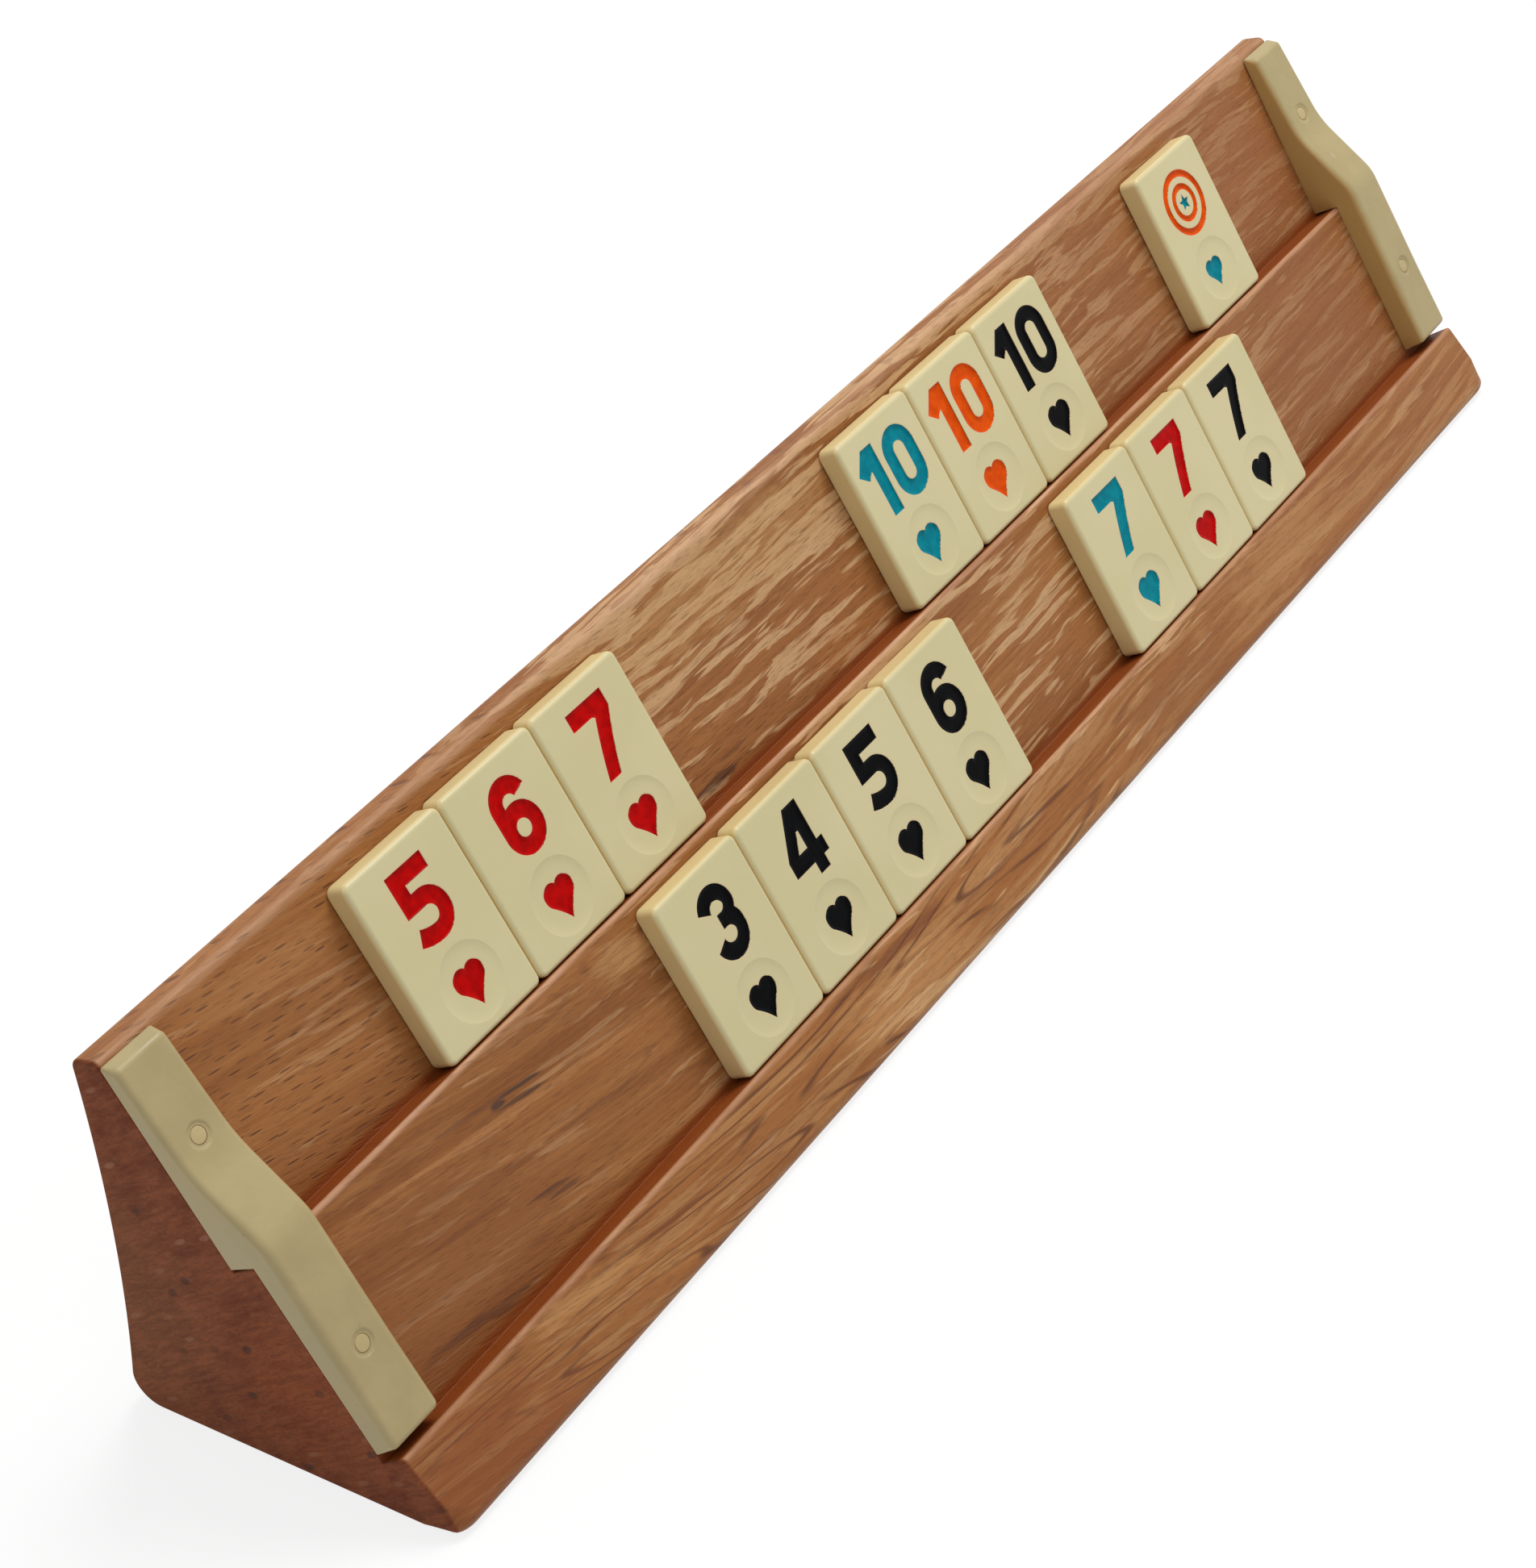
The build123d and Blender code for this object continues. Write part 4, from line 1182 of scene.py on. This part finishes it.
def nearest_on_outline(points, loops):
    """Distance to the outline and the direction away from it, for many points."""
    best = np.full(len(points), np.inf)
    away = np.zeros((len(points), 2))
    for loop in loops:
        for a, b in zip(loop, np.roll(loop, -1, axis=0)):
            edge = b - a
            share = np.clip(((points - a) @ edge) / max(edge @ edge, 1e-12), 0, 1)
            gap = points - (a + share[:, None] * edge)
            distance = lengths(gap)
            closer = distance < best
            best[closer] = distance[closer]
            away[closer] = gap[closer]
    return best, away / np.maximum(best, 1e-9)[:, None]


def inside(points, loops):
    """Even-odd test: which points lie within the outline."""
    crossings = np.zeros(len(points), int)
    x, y = points[:, 0], points[:, 1]
    for loop in loops:
        for (ax, ay), (bx, by) in zip(loop, np.roll(loop, -1, axis=0)):
            if ay != by:
                spans = (ay > y) != (by > y)
                crossings += spans & (x < ax + (y - ay) * (bx - ax) / (by - ay))
    return crossings % 2 == 1


near, _ = nearest_on_outline(np.array([[0.0, 0.0]]), red_5_loops)
print("the red 5 is", round(float(near[0]), 1), "mm from its tile's corner")

# %% Depth of groove and dish
DISH_CENTRE, DISH_RADIUS = np.array((TILE_WIDTH / 2, 10.5)), 8.3
DISH_DEPTH, DISH_POWER = 0.42, 6
GROOVE_WIDTH, GROOVE_DEPTH = 1.35, 0.62
BARE_RIM, PAINT_RIM = 0.14, 0.08
PLASTIC_DEPTH, PAINT_DEPTH = GROOVE_DEPTH + 0.04, GROOVE_DEPTH - 0.05


def dish(points):
    """Height and slope of the round dish."""
    gap = points - DISH_CENTRE
    away = lengths(gap)
    share = np.minimum(away / DISH_RADIUS, 1)
    height = -DISH_DEPTH * (1 - share ** DISH_POWER)
    steep = np.where(share < 0.999, DISH_DEPTH * DISH_POWER * share ** (DISH_POWER - 1) / DISH_RADIUS, 0)
    return height, gap / np.maximum(away, 1e-9)[:, None] * steep[:, None]


def groove(distance, away, rim, depth):
    """Height and slope of a round groove that starts rim below the face."""
    share = 1 - np.clip(distance / GROOVE_WIDTH, 0, 1)
    bowl = np.sqrt(np.maximum(1 - share ** 2, 0.0025))
    height = -rim - (depth - rim) * bowl
    steep = -(depth - rim) * share / (bowl * GROOVE_WIDTH)
    return height, away * steep[:, None]


print("a groove is", GROOVE_DEPTH, "mm deep at", GROOVE_WIDTH, "mm from its outline")

# %% The plate's rounded outline
FRONT_RADIUS, BACK_RADIUS, CORNER_RADIUS = 1.2, 0.6, 1.8


def rounded_rectangle(inset, corner_steps=7, side_steps=10):
    """The tile's outline, moved inwards and counterclockwise, and its outward directions."""
    radius = CORNER_RADIUS - min(inset, CORNER_RADIUS - 0.05)
    points, facing = [], []
    low, right, top = inset + radius, TILE_WIDTH - inset - radius, TILE_HEIGHT - inset - radius
    corners = [(right, low, -90), (right, top, 0), (low, top, 90), (low, low, 180)]
    for k, (x, y, start) in enumerate(corners):
        for i in range(corner_steps + 1):
            turn = math.radians(start + 90 * i / corner_steps)
            facing.append((math.cos(turn), math.sin(turn)))
            points.append((x + radius * math.cos(turn), y + radius * math.sin(turn)))
        next_x, next_y, _ = corners[(k + 1) % 4]
        turn = math.radians(start + 90)
        direction = (math.cos(turn), math.sin(turn))
        end = (next_x + radius * direction[0], next_y + radius * direction[1])
        for i in range(1, side_steps):
            share = i / side_steps
            points.append(tuple(a + (b - a) * share for a, b in zip(points[len(points) - i], end)))
            facing.append(direction)
    return np.array(points), np.array(facing)


print("border points:", len(rounded_rectangle(FRONT_RADIUS)[0]))

# %% Points near the outline and in the open
def unit_rows(rows):
    return rows / np.maximum(lengths(rows), 1e-9)[:, None]


def ring_points(loops, distance):
    """Points at one distance from the outline, inside it (positive) or outside."""
    found = []
    for loop in loops:
        edge = np.roll(loop, -1, axis=0) - loop
        turn = unit_rows(np.stack([-edge[:, 1], edge[:, 0]], axis=1))
        corner_turn = unit_rows(turn + np.roll(turn, 1, axis=0))
        found += [loop + corner_turn * distance, loop + edge * 0.5 + turn * distance]
    points = np.concatenate(found)
    true_distance, _ = nearest_on_outline(points, loops)
    near_enough = true_distance > abs(distance) * 0.9
    return points[near_enough & (inside(points, loops) == (distance > 0))]


def grid_points(loops, step, margin):
    """A loose triangular grid inside the outline."""
    low = np.min([loop.min(axis=0) for loop in loops], axis=0)
    high = np.max([loop.max(axis=0) for loop in loops], axis=0)
    xs, ys = np.arange(low[0], high[0], step), np.arange(low[1], high[1], step * 0.866)
    grid = np.array([(x + step / 2 * (j % 2), y) for j, y in enumerate(ys) for x in xs])
    distance, _ = nearest_on_outline(grid, loops)
    return grid[(distance > margin) & inside(grid, loops)]


def thin_out(points, gap):
    """Drops points that lie closer than gap to an earlier one."""
    kept, cells = [], set()
    for point in points:
        cell = (int(point[0] // gap), int(point[1] // gap))
        if not any((cell[0] + i, cell[1] + j) in cells for i in (-1, 0, 1) for j in (-1, 0, 1)):
            cells.add(cell)
            kept.append(point)
    return np.array(kept)


def dish_points(loops):
    """Rings of points in the dish, closer together at its steep rim, clear of the heart."""
    angles = np.arange(72) * math.tau / 72
    circle = np.stack([np.cos(angles), np.sin(angles)], axis=1)
    rings = [circle * share for share in (1.0, 0.985, 0.965, 0.935, 0.9, 0.85, 0.79, 0.72)]
    rings += [circle[::2] * share for share in (0.63, 0.53, 0.43)] + [circle[::4] * 0.3]
    points = np.concatenate(rings) * DISH_RADIUS + DISH_CENTRE
    distance, _ = nearest_on_outline(points, loops)
    return points[(distance > 0.5) & ~inside(points, loops)]


print("grid in the red 5:", len(grid_points(red_5_loops, 0.42, 0.95)), "points")

# %% Triangles of one face
# distance from the outline (negative outside it) and how loosely the points may stand
RINGS = [(0.05, 0.05), (0.14, 0.14), (0.28, 0.28), (0.48, 0.48), (0.75, 0.75), (-0.1, 0.3),
         (-0.35, 1.5)]


def face_triangles(border, loops):
    """Triangulates the front: returns points, triangles, which triangles lie in a sign and
    the new numbers of the border's points."""
    parts = [border, *loops]
    edges, start = [], 0
    for part in parts:
        size = len(part)
        edges += [(start + i, start + (i + 1) % size) for i in range(size)]
        start += size
    parts += [thin_out(ring_points(loops, away), 0.05 + 0.12 * loose) for away, loose in RINGS]
    parts += [grid_points(loops, 0.42, 0.95), dish_points(loops)]
    points = [Vector(p) for part in parts for p in part]
    found = delaunay_2d_cdt(points, edges, [], 1, 1e-5)
    flat = np.array([tuple(p) for p in found[0]])
    triangles = np.array([tuple(face) for face in found[2]])
    new_number = {source: i for i, ids in enumerate(found[3]) for source in ids}
    in_sign = inside(flat[triangles].mean(axis=1), loops)
    return flat, triangles, in_sign, [new_number[i] for i in range(len(border))]


print(len(RINGS), "rings of points round each sign")

# %% [markdown]
# ## Tile and paint
# One function puts the plate together: the engraved face, a quarter-round front edge, straight
# sides and a small rounding at the back. A second one lays the paint over the same triangles
# as a thin closed skin that starts a little below the rim, so a line of plastic shows round
# each sign, as on the real tiles. The attribute "side" tells the material how far a point has
# turned away from the face, and "rim" marks the groove's upper edge.

# %% Meshes with exact normals
def slopes_to_normals(slopes):
    normals = np.concatenate([-slopes, np.ones((len(slopes), 1))], axis=1)
    return normals / np.linalg.norm(normals, axis=1)[:, None]


def exact_mesh(name, matrix, verts, faces, normals, **point_values):
    """A mesh in tile millimetres, one normal for each corner of each face, set in its place."""
    mesh = bpy.data.meshes.new(name)
    mesh.from_pydata(np.concatenate(verts).tolist(), [], faces)
    shade_smooth(mesh)
    for label, values in point_values.items():
        store_floats(mesh, label, np.concatenate(values))
    mesh.transform(matrix)
    turn = matrix.to_3x3().normalized()
    mesh.normals_split_custom_set([turn @ Vector(n) for n in normals])
    return mesh


print("a flat face points along", slopes_to_normals(np.zeros((1, 2)))[0].tolist())

# %% Build the plate
ON_OUTLINE = 1e-4
WORN_DROP, WORN_WIDTH = 0.03, 0.3
RIM_REFLECTION_WIDTH = 0.45


def engraved_heights(flat, loops, distance, away):
    """Heights on the face, and its normals outside and inside the signs."""
    in_groove = inside(flat, loops) & (distance > ON_OUTLINE)
    dish_height, dish_slope = dish(flat)
    groove_height, groove_slope = groove(distance, away, BARE_RIM, PLASTIC_DEPTH)
    height = np.where(in_groove, dish_height + groove_height, dish_height)
    height = np.where(distance < ON_OUTLINE, dish_height - WORN_DROP, height)
    soft = np.clip(1 - distance / WORN_WIDTH, 0, 1)
    outside = ~in_groove & (distance > ON_OUTLINE)
    height = np.where(outside, height - WORN_DROP * soft ** 2, height)
    worn = away * (2 * WORN_DROP / WORN_WIDTH * soft)[:, None] * ~in_groove[:, None]
    return height, slopes_to_normals(dish_slope + worn), slopes_to_normals(dish_slope + groove_slope)


def edge_levels(front_steps=7, back_steps=4):
    """Inset, height, turn of the normal and value of "side" for each ring below the face."""
    quarter = math.pi / 2
    levels = []
    for turn in (quarter * k / front_steps for k in range(1, front_steps + 1)):
        levels.append((FRONT_RADIUS * (1 - math.sin(turn)),
                       TILE_THICKNESS - FRONT_RADIUS * (1 - math.cos(turn)), turn, math.sin(turn)))
    for turn in (quarter * k / back_steps for k in range(back_steps + 1)):
        levels.append((BACK_RADIUS * (1 - math.cos(turn)), BACK_RADIUS * (1 - math.sin(turn)),
                       quarter + turn, 1.0))
    return levels


def build_tile(name, matrix, loops, flat, triangles, in_sign, border_index):
    distance, away = nearest_on_outline(flat, loops)
    height, face_normals, sign_normals = engraved_heights(flat, loops, distance, away)
    verts = [np.column_stack([flat, TILE_THICKNESS + height])]
    faces = [tuple(int(i) for i in t) for t in triangles]
    normals = []
    for t, sunk in zip(triangles, in_sign):
        normals += [tuple((sign_normals if sunk else face_normals)[i]) for i in t]
    side = [np.zeros(len(flat))]
    # rim: how near a point is to a sign's outline; the material paints a pinkish reflection of the paint
    # there
    rim = [np.clip(1 - distance / RIM_REFLECTION_WIDTH, 0, 1)]
    ring = list(border_index)
    size, start = len(ring), len(flat)
    previous_turn = 0.0
    for inset, z, turn, sideways in edge_levels():
        outline, facing = rounded_rectangle(inset)
        verts.append(np.column_stack([outline, np.full(size, z)]))
        side.append(np.full(size, sideways))
        rim.append(np.zeros(size))
        new = list(range(start, start + size))
        for i in range(size):
            j = (i + 1) % size
            faces.append((new[i], new[j], ring[j], ring[i]))
            for index, angle in ((i, turn), (j, turn), (j, previous_turn), (i, previous_turn)):
                normals.append((*facing[index] * math.sin(angle), math.cos(angle)))
        ring, start, previous_turn = new, start + size, turn
    faces.append(tuple(ring[::-1]))
    normals += [(0, 0, -1)] * size
    return exact_mesh(name, matrix, verts, faces, normals, side=side, rim=rim)


print("a tile's edge has", len(edge_levels()), "rings")

# %% Build the paint
PAINT_CLEARANCE, PAINT_LEAST = 0.004, 0.01


def build_paint(name, matrix, loops, flat, chosen):
    """The paint over the chosen triangles, as a closed skin."""
    distance, away = nearest_on_outline(flat, loops)
    dish_height, dish_slope = dish(flat)
    paint_height, paint_slope = groove(distance, away, PAINT_RIM, PAINT_DEPTH)
    under, _ = groove(distance, away, BARE_RIM, PLASTIC_DEPTH)
    top = TILE_THICKNESS + dish_height + paint_height
    bottom = np.minimum(top - PAINT_LEAST, TILE_THICKNESS + dish_height + under + PAINT_CLEARANCE)
    normals = slopes_to_normals(dish_slope + paint_slope)
    used = np.unique(chosen)
    size = len(used)
    verts = [np.column_stack([flat[used], height[used]]) for height in (top, bottom)]
    new = np.searchsorted(used, chosen).tolist()
    faces = [(a, b, c) for a, b, c in new]
    faces += [(c + size, b + size, a + size) for a, b, c in new]
    edges = {edge: True for a, b, c in new for edge in ((a, b), (b, c), (c, a))}
    rims = [(a, b) for a, b in edges if (b, a) not in edges]
    faces += [(b, a, a + size, b + size) for a, b in rims]
    face_normals = [tuple(normals[i]) for t in chosen for i in t]
    face_normals += [(0, 0, -1)] * (3 * len(new)) + [(0, 0, 0)] * (4 * len(rims))
    return exact_mesh(name, matrix, verts, faces, face_normals)


print("paint starts", PAINT_RIM, "mm below the face")

# %% All fourteen tiles
def signs_of(tile_node, to_tile):
    """The tile's painted signs and their outlines. The joker has one for each colour."""
    enamel = tile_node.replace("_tile_", "_enamel_")
    enamels = [enamel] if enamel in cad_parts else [enamel + "_rings", enamel + "_star"]
    return [(node, [even_points(loop, 0.5) for level in CAD_PAINT_LEVELS
                    for loop in outline_loops(node, to_tile, level)]) for node in enamels]


def colour_of(enamel_node):
    joker = "orange" if "rings" in enamel_node else "teal"
    return next((word for word in paints if word in enamel_node), joker)


def tile_and_paint(tile_node):
    """Builds one tile and its painted signs and sets them on the tile's body."""
    matrix = tile_place(tile_node)
    signs = signs_of(tile_node, matrix.inverted())
    loops = [loop for _, part in signs for loop in part]
    border, _ = rounded_rectangle(FRONT_RADIUS)
    flat, triangles, in_sign, border_index = face_triangles(border, loops)
    body = tile_node + "_body"
    name = tile_node.replace("_tile", "")
    mesh = build_tile(name, matrix, loops, flat, triangles, in_sign, border_index)
    add_piece(name + "_plate", mesh, body, [tile_node], ivory_tile)
    total = len(mesh.polygons)
    centres = flat[triangles].mean(axis=1)
    for node, own_loops in signs:
        colour = colour_of(node)
        chosen = triangles[in_sign & inside(centres, own_loops)]
        mesh = build_paint(node, matrix, loops, flat, chosen)
        add_piece(node.replace("_enamel_", "_") + "_paint", mesh, body, [node],
                  paints[colour])
        total += len(mesh.polygons)
    return total


tile_nodes = sorted(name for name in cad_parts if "_tile_" in name)
sizes = [tile_and_paint(name) for name in tile_nodes]
print(len(sizes), "tiles with", sum(sizes), "faces")

# %% [markdown]
# ## Camera
# The rack is seen from its left end, a little above, with a long lens. The camera's matrix is
# given by its three directions and its place, in metres, which is exact and easy to check: the
# columns are the camera's right, its up and the way back from the subject.

# %% The camera
def make_camera(place, right, down, forward, lens):
    data = bpy.data.cameras.new("camera")
    data.lens = lens
    data.sensor_width = 36
    data.clip_start = 0.01
    camera = new_object("camera", data)
    view = Matrix((right, -Vector(down), -Vector(forward))).transposed().to_4x4()
    camera.matrix_world = Matrix.Translation(place) @ view
    bpy.context.scene.camera = camera
    return camera


camera = make_camera(place=(-0.50722, -0.37168, 0.45587),
                     right=(0.550517, -0.823642, -0.136181),
                     down=(-0.543545, -0.229822, -0.807304),
                     forward=(0.633632, 0.518456, -0.574208),
                     lens=76.44)
print("camera", round(camera.matrix_world.translation.length, 3), "m from the rack's middle")

# %% [markdown]
# ## Light and floor
# A white tent gives nearly all the light, so shadows are soft and colours stay as written. One
# large lamp high above the right end adds the gentle shine on the upper edges. The floor is
# pale, shows as white to the camera and still takes the rack's contact shadow.

# %% World, lamp and floor
WHITE = (1, 1, 1, 1)


def shown_to_camera(nodes):
    """1 for rays that show a backdrop: from the camera, by reflection or through glass."""
    path = nodes.add("ShaderNodeLightPath").outputs
    gloss = nodes.math("MAXIMUM", path["Is Glossy Ray"], path["Is Transmission Ray"])
    return nodes.math("MAXIMUM", path["Is Camera Ray"], gloss)


def mixed_shader(nodes, factor, first, second, output_kind):
    """Mixes two shader nodes and plugs the result into an output node."""
    mixed = nodes.add("ShaderNodeMixShader", {0: factor, 1: first.outputs[0], 2: second.outputs[0]})
    nodes.add(output_kind, {"Surface": mixed.outputs[0]})


def white_surroundings(light_level):
    world = bpy.data.worlds.new("white tent")
    nodes = empty_nodes(world)
    light = nodes.add("ShaderNodeBackground", {"Color": WHITE, "Strength": light_level})
    shown = nodes.add("ShaderNodeBackground", {"Color": WHITE, "Strength": 1.0})
    mixed_shader(nodes, shown_to_camera(nodes), light, shown, "ShaderNodeOutputWorld")
    bpy.context.scene.world = world


def soft_lamp(name, place, target, size, watts):
    data = bpy.data.lights.new(name, "AREA")
    data.shape = "DISK"
    data.size = size
    data.energy = watts
    turn = (Vector(target) - Vector(place)).to_track_quat("-Z", "Y").to_matrix().to_4x4()
    new_object(name, data).matrix_world = Matrix.Translation(place) @ turn


def pale_floor(half_width, brightness, glow_share, glow_level):
    w = half_width
    mesh = plain_mesh("floor", [(-w, -w, 0), (w, -w, 0), (w, w, 0), (-w, w, 0)], [(0, 1, 2, 3)])
    material = bpy.data.materials.new("pale floor")
    nodes = empty_nodes(material)
    chalk = nodes.add("ShaderNodeBsdfDiffuse", {"Color": (brightness, brightness, brightness, 1)})
    glow = nodes.add("ShaderNodeEmission", {"Color": WHITE, "Strength": glow_level})
    share = nodes.math("MULTIPLY", shown_to_camera(nodes), glow_share)
    mixed_shader(nodes, share, chalk, glow, "ShaderNodeOutputMaterial")
    mesh.materials.append(material)
    new_object("floor", mesh)


white_surroundings(light_level=0.56)
soft_lamp("key", place=(0.45, -0.08, 1.42), target=(0, 0, 0.03), size=0.7, watts=14.3)
pale_floor(half_width=3, brightness=0.80, glow_share=0.76, glow_level=1.06)
bpy.context.scene.view_settings.view_transform = "Standard"
print("one tent, one lamp, one floor")
